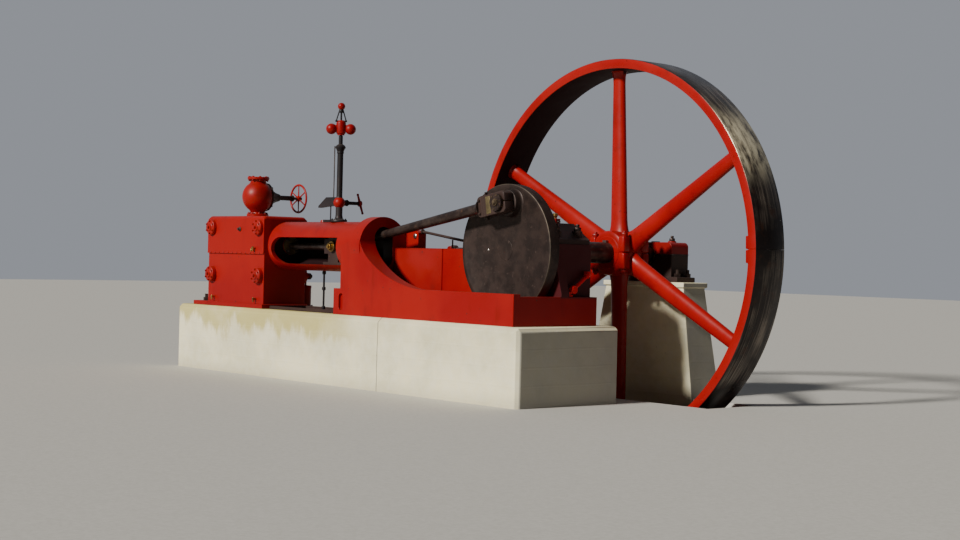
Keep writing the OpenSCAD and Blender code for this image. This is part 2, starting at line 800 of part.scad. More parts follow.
module throttle_handwheel() {
  color([0.72, 0.12, 0.1])
    difference() {
      union() {
        translate([-valve_x, wheel_reach, valve_z])
          rotate([90, 0, 0])
            rotate_extrude($fn = 64)
              translate([handwheel_r - handwheel_rim_d / 2, 0])
                circle(d = handwheel_rim_d, $fn = 16);
        for (a = [0 : 60 : 300])
          translate([-valve_x, wheel_reach, valve_z])
            rotate([0, a, 0])
              cylinder(h = handwheel_r - handwheel_rim_d / 2, d = 18, $fn = 16);
        y_bar(-valve_x, valve_z, wheel_reach - 26, wheel_reach + 26, 74);
      }
      y_bar(-valve_x, valve_z, wheel_reach - 40, wheel_reach + 40, stem_d);
    }
}

module main_bearing_shells() {
  color([0.72, 0.58, 0.26])
    difference() {
      y_bar(0, shaft_h, far_wall_y, frame_far, 2 * shell_r);
      y_bar(0, shaft_h, far_wall_y - 5, frame_far + 5, journal_d + 2 * journal_gap);
    }
}

module main_bearing_cap() {
  y0 = far_wall_y + 16;
  y1 = frame_far - 16;
  color([0.22, 0.12, 0.13])
    difference() {
      union() {
        side_profile(y0, y1)
          polygon([
            [-jaw_half + 10, jaw_top], [jaw_half - 10, jaw_top],
            [jaw_half - 10, jaw_top + 50], [cap_top_half + 20, jaw_top + cap_h - 40],
            [cap_top_half - 30, jaw_top + cap_h], [30 - cap_top_half, jaw_top + cap_h],
            [-cap_top_half - 20, jaw_top + cap_h - 40], [10 - jaw_half, jaw_top + 50]
          ]);
        box(-shell_r, shell_r, y0, y1, shaft_h, jaw_top + 1);
      }
      y_bar(0, shaft_h, y0 - 5, y1 + 5, 2 * shell_r);
    }
}

module bearing_adjuster() {
  x = (jaw_half + frame_end) / 2;
  y0 = far_wall_y + far_wall_t + 2;
  low = block_h + end_wall_h;
  foot = [x, y0 + adjuster_d, low + 30];
  tip = [x, frame_far - adjuster_in, low + adjuster_h];
  knob_z = foot[2] + knob_out * (tip[2] - foot[2]) / (tip[1] - foot[1]);
  color([0.72, 0.12, 0.1]) {
    bar_between(foot, tip, adjuster_d);
    box(x - 36, x + 36, y0, foot[1] + 30, low, low + 24);
    box(jaw_half, x + 20, tip[1] - 30, tip[1] + 30, tip[2] - 30, tip[2] + 30);
    translate([x, foot[1] + knob_out, knob_z]) rotate([0, 90, 0])
      cylinder(h = 60, d = knob_d, center = true, $fn = 32);
  }
}

module outboard_bearing_base() {
  h = shaft_h - pier_top;
  color([0.2, 0.12, 0.13])
    difference() {
      union() {
        box(-outboard_l / 2, outboard_l / 2, outboard_near, outboard_far, pier_top,
            pier_top + 60);
        box(-outboard_half, outboard_half, outboard_near + 10, outboard_far - 10,
            pier_top + 60, shaft_h);
      }
      y_bar(0, shaft_h, outboard_near - 5, outboard_far + 5, 2 * outboard_shell_r);
    }
}

module outboard_bearing_shells() {
  color([0.72, 0.58, 0.26])
    difference() {
      y_bar(0, shaft_h, outboard_near, outboard_far, 2 * outboard_shell_r);
      y_bar(0, shaft_h, outboard_near - 5, outboard_far + 5, outboard_d + 2 * journal_gap);
    }
}

module outboard_bearing_cap() {
  r = 60;
  top = shaft_h + outboard_rise;
  color([0.62, 0.11, 0.09])
    difference() {
      hull() {
        box(-outboard_half, outboard_half, outboard_near + 10, outboard_far - 10, shaft_h,
            shaft_h + 1);
        for (x = [r - outboard_half, outboard_half - r])
          y_bar(x, top - r, outboard_near + 10, outboard_far - 10, 2 * r);
      }
      y_bar(0, shaft_h, outboard_near - 5, outboard_far + 5, 2 * outboard_shell_r);
    }
}

module crankshaft() {
  color([0.3, 0.24, 0.24])
    y_bar(0, shaft_h, disc_y, outboard_near - 20, journal_d);
  neck = outboard_far + 2;
  color([0.3, 0.24, 0.24]) {
    y_bar(0, shaft_h, outboard_near - 20, neck, outboard_d);
    y_bar(0, shaft_h, neck, neck + stub_undercut, stub_d - 2 * stub_undercut);
    y_bar(0, shaft_h, neck + stub_undercut, neck + stub_undercut + shaft_stub, stub_d);
  }
}

module crank_disc() {
  color([0.2, 0.14, 0.13])
    difference() {
      union() {
        y_bar(0, shaft_h, disc_y, disc_back, 2 * disc_r, 120);
        y_bar(pin_x, pin_z, big_end_w / 2 + 12, disc_y, pin_boss_d);
      }
      y_bar(0, shaft_h, disc_y - 5, disc_back + 5, journal_d);
      y_bar(pin_x, pin_z, 0, disc_back + 5, pin_d);
    }
}

module crank_pin() {
  color([0.42, 0.36, 0.33]) {
    y_bar(pin_x, pin_z, -big_end_w / 2 - 10, disc_back, pin_d);
    y_bar(pin_x, pin_z, -big_end_w / 2 - 10 - pin_collar_t, -big_end_w / 2 - 10, pin_collar_d);
  }
}

module crank_oiler() {
  y0 = -big_end_w / 2 - 10 - pin_collar_t;
  color([0.55, 0.42, 0.2]) {
    y_bar(pin_x, pin_z, y0 - 18, y0, 84);
    difference() {
      translate([pin_x, y0 - 14, pin_z]) sphere(r = 32, $fn = 24);
      y_bar(pin_x, pin_z, y0 - 9, y0 + 30, 80);
    }
  }
}

// Half of the flywheel, from the split line through a + 180 degrees
module wheel_half(a) {
  rim_in = wheel_r - rim_t;
  spoke_l = rim_in + 12;
  about_shaft(a)
    difference() {
      union() {
        difference() {
          y_bar(0, 0, rim_y, rim_y + rim_w, 2 * wheel_r, 240);
          y_bar(0, 0, rim_y - 5, rim_y + rim_w + 5, 2 * (wheel_r - rim_t), 240);
        }
        y_bar(0, 0, hub_near, hub_far, 2 * hub_r);
        box(-lug_half, lug_half, hub_near, hub_far, -lug_h, lug_h);
        for (s = [30, 90, 150])
          rotate([0, -s, 0])
            hull() {
              translate([spoke_l, spoke_y, 0])
                rotate([0, 90, 0])
                  scale([spoke_tip_w, spoke_tip_t, 1])
                    cylinder(h = 1, d = 1, $fn = 32);
              translate([100, spoke_y, 0])
                rotate([0, 90, 0])
                  scale([spoke_root_w, spoke_root_t, 1])
                    cylinder(h = 1, d = 1, $fn = 32);
            }
        for (m = [-1, 1])
          translate([m * (rim_in - rim_lug_in / 2), spoke_y, 0])
            cube([rim_lug_in + 14, 2 * rim_lug_w, 2 * rim_lug_l], center = true);
      }
      y_bar(0, 0, hub_near - 5, hub_far + 5, journal_d + 2 * journal_gap);
      box(-wheel_r - 5, wheel_r + 5, rim_y - 5, rim_y + rim_w + 5, -wheel_r - 5, 0);
      for (m = [-1, 1]) {
        box(m * (lug_half + 5) - 60, m * (lug_half + 5) + 60, hub_near + 110, hub_far - 110,
            -lug_h - 5, lug_h + 5);
        for (y = [-joint_half, joint_half])
          translate([m * (rim_in - joint_in), spoke_y + y, -1])
            cylinder(h = rim_lug_l + 5, d = joint_bolt_d, $fn = 24);
      }
    }
}

module flywheel_upper_half() {
  color([0.78, 0.14, 0.11]) wheel_half(wheel_a);
}

module flywheel_lower_half() {
  color([0.78, 0.14, 0.11]) wheel_half(wheel_a + 180);
}

module rim_joint_bolts() {
  color([0.45, 0.1, 0.09])
    about_shaft(wheel_a)
      for (m = [-1, 1])
        for (y = [-joint_half, joint_half])
          translate([m * (wheel_r - rim_t - joint_in), spoke_y + y, 0]) {
            cylinder(h = 2 * (rim_lug_l + joint_nut_h + 1), d = joint_bolt_d, center = true,
                     $fn = 24);
            for (z = [-rim_lug_l - joint_nut_h, rim_lug_l])
              translate([0, 0, z]) cylinder(h = joint_nut_h, d = joint_nut_w, $fn = 6);
          }
}

module hub_bolts() {
  color([0.45, 0.1, 0.09])
    about_shaft(wheel_a)
      for (m = [-1, 1])
        for (y = [hub_near + 60, hub_far - 60])
          translate([m * hub_nut_x, y, 0])
            for (z = [-lug_h - hub_nut_h, lug_h])
              translate([0, 0, z]) cylinder(h = hub_nut_h, d = hub_nut_w, $fn = 6);
}

module eccentric_sheave() {
  color([0.3, 0.24, 0.22])
    difference() {
      y_bar(sheave_x, shaft_h, sheave_y - sheave_w / 2, sheave_y + sheave_w / 2, 2 * sheave_r);
      y_bar(0, shaft_h, sheave_y - sheave_w, sheave_y + sheave_w, journal_d);
    }
}

module eccentric_strap() {
  y0 = sheave_y - sheave_w / 2 + 8;
  y1 = sheave_y + sheave_w / 2 - 8;
  color([0.6, 0.11, 0.09])
    difference() {
      union() {
        y_bar(sheave_x, shaft_h, y0, y1, 2 * (sheave_r + strap_t));
        for (z = [-1, 1])
          box(sheave_x - 50, sheave_x + 50, y0, y1,
              shaft_h + z * (sheave_r + strap_t + 10) - 36,
              shaft_h + z * (sheave_r + strap_t + 10) + 36);
        box(sheave_x - sheave_r - strap_t - 70, sheave_x - sheave_r - 10, y0, y1,
            shaft_h - 50, shaft_h + 50);
      }
      y_bar(sheave_x, shaft_h, y0 - 5, y1 + 5, 2 * (sheave_r + strap_gap));
    }
}

module eccentric_rod() {
  eye_x = -rocker_x;
  color([0.42, 0.36, 0.34])
    difference() {
      union() {
        x_bar(sheave_y, shaft_h, eye_x, sheave_x - sheave_r - strap_t - 70, ecc_rod_d);
        y_bar(eye_x, shaft_h, sheave_y - ecc_eye_w / 2, sheave_y + ecc_eye_w / 2, ecc_eye_d);
      }
      y_bar(eye_x, shaft_h, sheave_y - ecc_eye_w, sheave_y + ecc_eye_w,
            rocker_pin_d + 2 * rocker_play);
    }
}

// Rod frame: x runs from the crank pin towards the wrist pin
module along_rod() {
  translate([pin_x, 0, pin_z]) rotate([0, 180 - rod_a, 0]) children();
}

module connecting_rod() {
  w = big_end_w / 2;
  back = 120;
  shank_0 = big_end_l - back;
  shank_1 = rod_l - small_end_d / 2 + 10;
  mid = (shank_0 + shank_1) / 2;
  color([0.3, 0.24, 0.24])
    along_rod()
      difference() {
        union() {
          box(-back, shank_0, -w, w, -big_end_h / 2, big_end_h / 2);
          translate([shank_0 - 5, 0, 0]) rotate([0, 90, 0])
            cylinder(h = mid - shank_0 + 5, d1 = rod_big_d, d2 = rod_mid_d, $fn = 40);
          translate([mid, 0, 0]) rotate([0, 90, 0])
            cylinder(h = shank_1 - mid, d1 = rod_mid_d, d2 = rod_small_d, $fn = 40);
          y_bar(rod_l, 0, -small_end_w / 2, small_end_w / 2, small_end_d);
        }
        y_bar(0, 0, -w - 5, w + 5, pin_d + 2 * brass_t + 2 * journal_gap);
        y_bar(rod_l, 0, -small_end_w, small_end_w, wrist_d + 2 * wrist_play);
      }
}

module big_end_brasses() {
  w = big_end_w / 2;
  outer = pin_d + 2 * brass_t + 2 * journal_gap;
  color([0.72, 0.58, 0.26])
    along_rod()
      difference() {
        y_bar(0, 0, -w - 4, w + 4, outer);
        y_bar(0, 0, -w - 9, w + 9, pin_d + 2 * journal_gap);
      }
}

module crosshead() {
  r = guide_r - shoe_gap;
  x0 = wrist_x - shoe_l / 2;
  x1 = wrist_x + shoe_l / 2;
  color([0.3, 0.22, 0.22])
    difference() {
      union() {
        intersection() {
          x_bar(0, shaft_h, x0, x1, 2 * r);
          union() {
            box(x0, x1, -shoe_w / 2, shoe_w / 2, shaft_h + r - shoe_t, shaft_h + r);
            box(x0, x1, -shoe_w / 2, shoe_w / 2, shaft_h - r, shaft_h - r + shoe_t);
          }
        }
        for (s = [-1, 1])
          box(wrist_x - 105, wrist_x + 105, s * 89 - 24, s * 89 + 24,
              shaft_h - r + shoe_t - 5, shaft_h + r - shoe_t + 5);
        box(x0 - 10, wrist_x - 118, -72, 72, shaft_h - 90, shaft_h + 90);
        for (s = [-1, 1])
          box(x0 + 20, wrist_x - 100, s * 89 - 24, s * 89 + 24, shaft_h - 90, shaft_h + 90);
      }
      y_bar(wrist_x, shaft_h, -200, 200, wrist_d);
      x_bar(0, shaft_h, x0 - 20, x0 + 60, piston_rod_d);
    }
}

module wrist_pin() {
  color([0.6, 0.5, 0.3]) {
    y_bar(wrist_x, shaft_h, -130, 130, wrist_d);
    y_bar(wrist_x, shaft_h, -150, -130, wrist_d + 36);
  }
}

module piston_rod() {
  color([0.5, 0.46, 0.44])
    x_bar(0, shaft_h, -cyl_x - rod_tail, wrist_x - shoe_l / 2 + 60, piston_rod_d);
}

module rocker_bracket() {
  y0 = far_wall_y + far_wall_t;
  z = shaft_h - 330;
  color([0.6, 0.11, 0.09])
    difference() {
      union() {
        box(-rocker_x - 110, -rocker_x + 110, y0, y0 + 40, z - 120, z + 120);
        y_bar(-rocker_x, z, y0 + 40, y0 + 330, 120);
        box(-rocker_x - 20, -rocker_x + 20, y0 + 40, y0 + 300, z - 110, z);
      }
      y_bar(-rocker_x, z, y0 - 5, y0 + 335, 64);
    }
}

module rocker_arm() {
  z0 = shaft_h - 330;
  color([0.45, 0.1, 0.09]) {
    y_bar(-rocker_x, z0, far_wall_y + far_wall_t, sheave_y - 44, 64);
    hull() {
      y_bar(-rocker_x, z0, sheave_y - 84, sheave_y - 44, 110);
      y_bar(-rocker_x, shaft_h, sheave_y - 84, sheave_y - 44, 84);
    }
    y_bar(-rocker_x, shaft_h, sheave_y - 44, sheave_y + 46, rocker_pin_d);
  }
}

module reach_rod() {
  y = sheave_y - 110;
  color([0.42, 0.36, 0.34]) {
    y_bar(-rocker_x, shaft_h - 90, y - 22, sheave_y - 84, rocker_pin_d);
    x_bar(y, shaft_h - 90, -cyl_x - cyl_l / 2, -rocker_x, 44);
    y_bar(-cyl_x - cyl_l / 2, shaft_h - 90, plate_y + plate_t / 2, y + 26, rocker_pin_d);
  }
}

module wrist_plate() {
  x = -cyl_x - cyl_l / 2;
  z = shaft_h - 90;
  color([0.6, 0.11, 0.09]) {
    y_bar(x, z - 130, plate_y - plate_t / 2, plate_y + plate_t / 2, 2 * plate_r);
    y_bar(x, z - 130, cyl_far - seam_step, plate_y - plate_t / 2, 120);
  }
}

module valve_cranks() {
  color([0.42, 0.36, 0.34])
    for (x = [-cyl_x - bonnet_inset, -cyl_back + bonnet_inset])
      for (z = [bonnet_low, bonnet_high]) {
        s = x < -cyl_x - cyl_l / 2 ? 1 : -1;
        hull() {
          y_bar(x, block_h + z, plate_y + 12, plate_y + 36, 86);
          y_bar(x + s * valve_crank_l, block_h + z, plate_y + 12, plate_y + 36, 50);
        }
      }
}

module valve_rods() {
  mid = -cyl_x - cyl_l / 2;
  hub_z = shaft_h - 220;
  color([0.5, 0.46, 0.44])
    for (s = [-1, 1])
      for (v = [[bonnet_low, -110], [bonnet_high, 110]]) {
        x = mid + s * (cyl_l / 2 - bonnet_inset - valve_crank_l);
        bar_between([mid + s * 150, plate_y + 38 + valve_rod_d / 2, hub_z + v[1]],
                    [x, plate_y + 38 + valve_rod_d / 2, block_h + v[0]], valve_rod_d);
        y_bar(mid + s * 150, hub_z + v[1], plate_y + plate_t / 2, plate_y + 64, 36);
        y_bar(x, block_h + v[0], plate_y + 36, plate_y + 64, 36);
      }
}

module dash_pots() {
  y = plate_y + 84;
  color([0.5, 0.11, 0.09])
    for (s = [-1, 1]) {
      x = -cyl_x - cyl_l / 2 + s * (cyl_l / 2 - bonnet_inset - valve_crank_l);
      translate([x, y, block_h]) cylinder(h = 30, d = dash_d + 60, $fn = 40);
      translate([x, y, block_h]) cylinder(h = dash_h, d = dash_d, $fn = 40);
      translate([x, y, block_h + dash_h])
        cylinder(h = bonnet_high - dash_h, d = 22, $fn = 24);
      y_bar(x, block_h + bonnet_high, plate_y + 64, y + 11, 36);
    }
}

module governor_column() {
  z0 = barrel_top - 24;
  bore = gov_spindle_d + 2 * spindle_gap;
  neck_z = shaft_h + gov_col_h - gov_neck_l;
  collar_d = gov_col_d + 2 * gov_collar_out;
  color([0.11, 0.09, 0.1])
    difference() {
      union() {
        translate([-gov_x, 0, z0]) cylinder(h = gov_foot_t, d = gov_foot_d, $fn = 40);
        translate([-gov_x, 0, z0]) cylinder(h = shaft_h + cross_h - z0, d = gov_col_d + 12, $fn = 40);
        translate([-gov_x, 0, shaft_h + cross_h])
          cylinder(h = gov_col_h - cross_h - gov_neck_l, d = gov_col_d, $fn = 40);
        translate([-gov_x, 0, neck_z - gov_collar_l])
          cylinder(h = gov_collar_l - 40, d1 = gov_col_d, d2 = collar_d, $fn = 40);
        translate([-gov_x, 0, neck_z - 40])
          cylinder(h = 40, d1 = collar_d, d2 = gov_col_d, $fn = 40);
        translate([-gov_x, 0, neck_z])
          cylinder(h = gov_neck_l, d = gov_neck_d, $fn = 40);
        translate([-gov_x, 0, shaft_h + cross_h]) sphere(r = cross_boss_r, $fn = 32);
        y_bar(-gov_x, shaft_h + cross_h, 0, cross_boss_l, cross_d + 30);
      }
      x_bar(0, shaft_h, -gov_x - 200, -gov_x + 200, 2 * barrel_r);
      translate([-gov_x, 0, neck_z - 90]) cylinder(h = gov_neck_l + 150, d = bore, $fn = 40);
      y_bar(-gov_x, shaft_h + cross_h, 20, cross_boss_l + 10, cross_d + 2 * spindle_gap);
    }
}

module governor_hood() {
  z = shaft_h + cross_h;
  color([0.14, 0.11, 0.12]) {
    difference() {
      side_profile(-hood_w / 2, hood_w / 2)
        translate([-gov_x, z])
          polygon([
            [-48, -34], [-48, hood_rise - 10], [-72, hood_rise], [-hood_post_x - 66, hood_rise],
            [-hood_l, -40], [-hood_l, -62], [-hood_post_x - 90, -50]
          ]);
      translate([-gov_x, 0, z]) sphere(r = cross_boss_r + 0.3, $fn = 32);
    }
    translate([-gov_x - hood_post_x, 0, barrel_top + 20])
      cylinder(h = z - 30 - barrel_top, d = 16, $fn = 24);
    difference() {
      box(-gov_x - hood_base_l, -gov_x - gov_foot_d / 2, -60, 60, barrel_top - 8,
          barrel_top + 26);
      x_bar(0, shaft_h, -gov_x - hood_base_l - 10, -gov_x, 2 * barrel_r + 0.6);
    }
  }
}

module governor_head() {
  z_ball = shaft_h + ball_h;
  z_top = shaft_h + top_ball_h;
  z_col = shaft_h + gov_col_h;
  color([0.7, 0.12, 0.1]) {
    translate([-gov_x, 0, z_col - 150])
      cylinder(h = z_top - z_col + 150, d = gov_spindle_d, $fn = 24);
    translate([-gov_x, 0, z_top]) sphere(r = top_ball_r, $fn = 32);
    translate([-gov_x, 0, z_col + 6]) cylinder(h = 24, d = 90, $fn = 32);
    translate([-gov_x, 0, z_ball - 60]) cylinder(h = 170, d = 120, $fn = 32);
    for (s = [-1, 1]) {
      translate([-gov_x + s * ball_out * 0.6, s * ball_out * 0.8, z_ball])
        sphere(r = ball_r, $fn = 32);
      bar_between([-gov_x + s * 12, s * 16, z_top - 30],
                  [-gov_x + s * 42, s * 56, z_ball + 108], 16);
      bar_between([-gov_x, 0, z_ball],
                  [-gov_x + s * ball_out * 0.6, s * ball_out * 0.8, z_ball], 40);
    }
  }
}

module governor_lever() {
  z = shaft_h + cross_h;
  color([0.45, 0.14, 0.14]) {
    y_bar(-gov_x, z, 30, lever_out, cross_d);
    y_bar(-gov_x, z, lever_out - 20, lever_out + 14, 76);
    bar_between([-gov_x, lever_out - 36, z + lever_l * 0.44],
                [-gov_x, lever_out + 43, z - lever_l * 0.48], 26);
  }
}

// Nut on its stud
module nut() {
  cylinder(h = nut_h, d = nut_w, $fn = 6);
  cylinder(h = stud_h, d = stud_d, $fn = 24);
}

module foundation_nuts() {
  base = block_h + frame_base_t;
  color([0.35, 0.12, 0.11]) {
    for (k = [0 : 2])
      translate([-near_low_x - nut_inset - k * nut_pitch, far_wall_y - 60, base]) nut();
    for (y = [-frame_near + nut_edge, cyl_far + 20 - nut_edge])
      translate([-cyl_back - foot_out / 2, y, block_h + foot_t]) nut();
    for (x = [-outboard_half - 48, outboard_half + 48])
      for (y = [outboard_near + 70, outboard_far - 70])
        translate([x, y, pier_top + 60]) nut();
  }
}

foundation_block();
wheel_pit_footing();
outboard_pier();
bed_frame();
near_wall_web();
far_wall_web();
guide_mouth_ring();
guide_barrel();
cylinder_casting();
cylinder_back_head();
cylinder_front_head();
near_valve_covers();
far_valve_bonnets();
piston_rod_gland();
throttle_body();
throttle_bonnet();
throttle_stem();
throttle_handwheel();
main_bearing_shells();
main_bearing_cap();
bearing_adjuster();
outboard_bearing_base();
outboard_bearing_shells();
outboard_bearing_cap();
crankshaft();
crank_disc();
crank_pin();
crank_oiler();
flywheel_upper_half();
flywheel_lower_half();
rim_joint_bolts();
hub_bolts();
eccentric_sheave();
eccentric_strap();
eccentric_rod();
connecting_rod();
big_end_brasses();
crosshead();
wrist_pin();
piston_rod();
rocker_bracket();
rocker_arm();
reach_rod();
wrist_plate();
valve_cranks();
valve_rods();
dash_pots();
governor_column();
governor_hood();
governor_head();
governor_lever();
foundation_nuts();
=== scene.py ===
import logging
import math
from dataclasses import dataclass
from enum import Enum
from typing import Callable, Iterator, Sequence

import bmesh
import bpy
from mathutils import Matrix, Vector


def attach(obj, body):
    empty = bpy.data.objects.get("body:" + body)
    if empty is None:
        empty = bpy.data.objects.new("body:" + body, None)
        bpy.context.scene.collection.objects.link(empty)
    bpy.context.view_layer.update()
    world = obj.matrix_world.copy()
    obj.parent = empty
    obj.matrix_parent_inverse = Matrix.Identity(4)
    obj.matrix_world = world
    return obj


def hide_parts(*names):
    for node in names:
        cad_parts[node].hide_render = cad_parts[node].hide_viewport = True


logging.basicConfig(level=logging.INFO, format="%(message)s")
LOG = logging.getLogger("engine")

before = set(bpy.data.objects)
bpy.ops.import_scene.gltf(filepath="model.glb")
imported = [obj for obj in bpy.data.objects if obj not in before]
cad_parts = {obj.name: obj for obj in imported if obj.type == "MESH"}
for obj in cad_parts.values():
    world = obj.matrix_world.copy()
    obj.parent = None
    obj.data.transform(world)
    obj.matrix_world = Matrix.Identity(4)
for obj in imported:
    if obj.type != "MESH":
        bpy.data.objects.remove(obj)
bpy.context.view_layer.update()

Colour = tuple[float, float, float]
Point = tuple[float, float, float]
Outline = Sequence[tuple[float, float]]

# Directions: near is the side that is seen, far the side of the flywheel
ORIGIN: Point = (0, 0, 0)
UP: Point = (0, 0, 1)
DOWN: Point = (0, 0, -1)
NEAR: Point = (0, -1, 0)
FAR: Point = (0, 1, 0)
CRANKWARD: Point = (1, 0, 0)
BACKWARD: Point = (-1, 0, 0)

# Heights and places in metres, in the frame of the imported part
GROUND = 0.85
BLOCK_TOP = 1.71
SHAFT = 2.531
PIN = (0.115361, 0.0, 3.051367)
WRIST_X = -2.900068
WEB_SEAM = -0.264
CASING_FAR = 0.333
BONNETS = [(x, z) for x in (-4.238, -5.378) for z in (2.135, 2.76)]
SHARP_DEGREES = 34.0
GUIDE_BORE = 0.259
BORE_END = -2.022
TROUGH_X, TROUGH_Y = (-2.4, -1.98), (-0.25, 0.3)
JAW_X, JAW_Y = (-0.66, 0.77), (0.322, 1.0)


class Body(Enum):
    """The moving bodies of the engine."""

    FRAME = "engine_frame"
    CRANK = "crankshaft_with_wheel"
    ROD = "connecting_rod"
    CROSSHEAD = "crosshead_with_rod"
    STRAP = "eccentric_strap_with_rod"
    HANDWHEEL = "throttle_wheel"
    BALLS = "governor_balls"
    LEVER = "governor_lever"


# Finishes


class Shader:
    """Wires one procedural material in Object coordinates."""

    def __init__(self, name: str) -> None:
        """Starts a material with its surface and its place socket."""
        self.material = bpy.data.materials.new(name)
        self.material.use_nodes = True
        self.tree = self.material.node_tree
        self.surface = self.tree.nodes["Principled BSDF"]
        self.place = self.add("TexCoord").outputs["Object"]

    def add(self, kind: str, **settings: object) -> bpy.types.Node:
        """Adds a shader node.

        Args:
            kind: Node type without its ShaderNode prefix.
            **settings: Plain attributes of the node.

        Returns:
            The new node.
        """
        node = self.tree.nodes.new("ShaderNode" + kind)
        for key, value in settings.items():
            setattr(node, key, value)
        return node

    def feed(self, socket: bpy.types.NodeSocket, value: object) -> None:
        """Links a socket to another one, or sets its plain value."""
        if isinstance(value, bpy.types.NodeSocket):
            self.tree.links.new(value, socket)
        else:
            socket.default_value = value

    def stretched(self, stretch: Point) -> bpy.types.NodeSocket:
        """Returns the place of the surface, scaled along each axis."""
        node = self.add("Mapping")
        self.feed(node.inputs["Vector"], self.place)
        node.inputs["Scale"].default_value = stretch
        return node.outputs["Vector"]

    def noise(self, scale: float, detail: float = 4.0, stretch: Point = (1, 1, 1)
              ) -> bpy.types.NodeSocket:
        """Adds a noise pattern.

        Args:
            scale: Cells per metre.
            detail: Octaves.
            stretch: Scale of the place along each axis.

        Returns:
            The pattern's value socket, about 0.3 to 0.7.
        """
        node = self.add("TexNoise")
        self.feed(node.inputs["Vector"], self.stretched(stretch))
        node.inputs["Scale"].default_value = scale
        node.inputs["Detail"].default_value = detail
        node.inputs["Roughness"].default_value = 0.6
        return node.outputs["Fac"]

    def between(self, value: bpy.types.NodeSocket, low: float, high: float
                ) -> bpy.types.NodeSocket:
        """Returns 0 below low and 1 above high, with a smooth step between."""
        node = self.add("MapRange", interpolation_type="SMOOTHSTEP")
        self.feed(node.inputs["Value"], value)
        node.inputs["From Min"].default_value = low
        node.inputs["From Max"].default_value = high
        return node.outputs["Result"]

    def maths(self, operation: str, a: object, b: object = 0.5) -> bpy.types.NodeSocket:
        """Returns a maths node's value for the operation on a and b."""
        node = self.add("Math", operation=operation)
        self.feed(node.inputs[0], a)
        self.feed(node.inputs[1], b)
        return node.outputs[0]

    def times(self, a: object, b: object) -> bpy.types.NodeSocket:
        """Returns a times b."""
        return self.maths("MULTIPLY", a, b)

    def plus(self, a: object, b: object) -> bpy.types.NodeSocket:
        """Returns a and b together."""
        return self.maths("ADD", a, b)

    def minus(self, a: object, b: object) -> bpy.types.NodeSocket:
        """Returns a less b."""
        return self.maths("SUBTRACT", a, b)

    def blend(self, share: object, a: object, b: object) -> bpy.types.NodeSocket:
        """Returns colour a turning into colour b by share."""
        node = self.add("Mix", data_type="RGBA")
        self.feed(node.inputs[0], share)
        for socket, value in ((node.inputs[6], a), (node.inputs[7], b)):
            self.feed(socket, (*value, 1.0) if isinstance(value, tuple) else value)
        return node.outputs[2]

    def along(self, axis: int) -> bpy.types.NodeSocket:
        """Returns the place along one axis, 0 to 2."""
        node = self.add("SeparateXYZ")
        self.feed(node.inputs[0], self.place)
        return node.outputs[axis]

    def facing(self, axis: int) -> bpy.types.NodeSocket:
        """Returns how far the surface faces along one axis."""
        node = self.add("SeparateXYZ")
        self.feed(node.inputs[0], self.add("NewGeometry").outputs["Normal"])
        return node.outputs[axis]

    def from_line(self, across: int = 0) -> bpy.types.NodeSocket:
        """Returns the distance from a line at the shaft's height: the shaft, or the cylinder axis.

        Args:
            across: Axis that the distance is taken along, 0 for the shaft and 1 for the cylinder.

        Returns:
            The distance's socket.
        """
        z = self.minus(self.along(2), SHAFT)
        a = self.along(across)
        squares = self.plus(self.times(a, a), self.times(z, z))
        return self.maths("SQRT", squares)

    def within(self, axis: int, low: float, high: float, soft: float = 0.02
               ) -> bpy.types.NodeSocket:
        """Returns 1 where the place lies between two values along an axis, 0 elsewhere."""
        place = self.along(axis)
        return self.times(self.between(place, low, low + soft), self.between(place, high, high - soft))

    def bumps(self, *layers: tuple[bpy.types.NodeSocket, float, float]) -> None:
        """Stacks bump layers on the surface.

        Args:
            *layers: Height socket, strength and depth in metres of each layer.
        """
        normal = None
        for height, strength, depth in layers:
            node = self.add("Bump")
            node.inputs["Strength"].default_value = strength
            node.inputs["Distance"].default_value = depth
            self.feed(node.inputs["Height"], height)
            if normal is not None:
                self.feed(node.inputs["Normal"], normal)
            normal = node.outputs["Normal"]
        self.feed(self.surface.inputs["Normal"], normal)

    def dress(self, **inputs: object) -> bpy.types.Material:
        """Sets the surface's sockets.

        Args:
            **inputs: Socket names, with _ for a space, and their values.

        Returns:
            The finished material.
        """
        for key, value in inputs.items():
            value = (*value, 1.0) if isinstance(value, tuple) else value
            self.feed(self.surface.inputs[key.replace("_", " ")], value)
        return self.material


class Finish:
    """A finish that makes its material once and hands it out."""

    _made: dict[str, bpy.types.Material] = {}

    @property
    def material(self) -> bpy.types.Material:
        """The material of this finish."""
        if self.name not in Finish._made:
            Finish._made[self.name] = self.make(Shader(self.name))
        return Finish._made[self.name]

    def make(self, shader: Shader) -> bpy.types.Material:
        """Wires the finish; each kind of finish has its own."""
        raise NotImplementedError


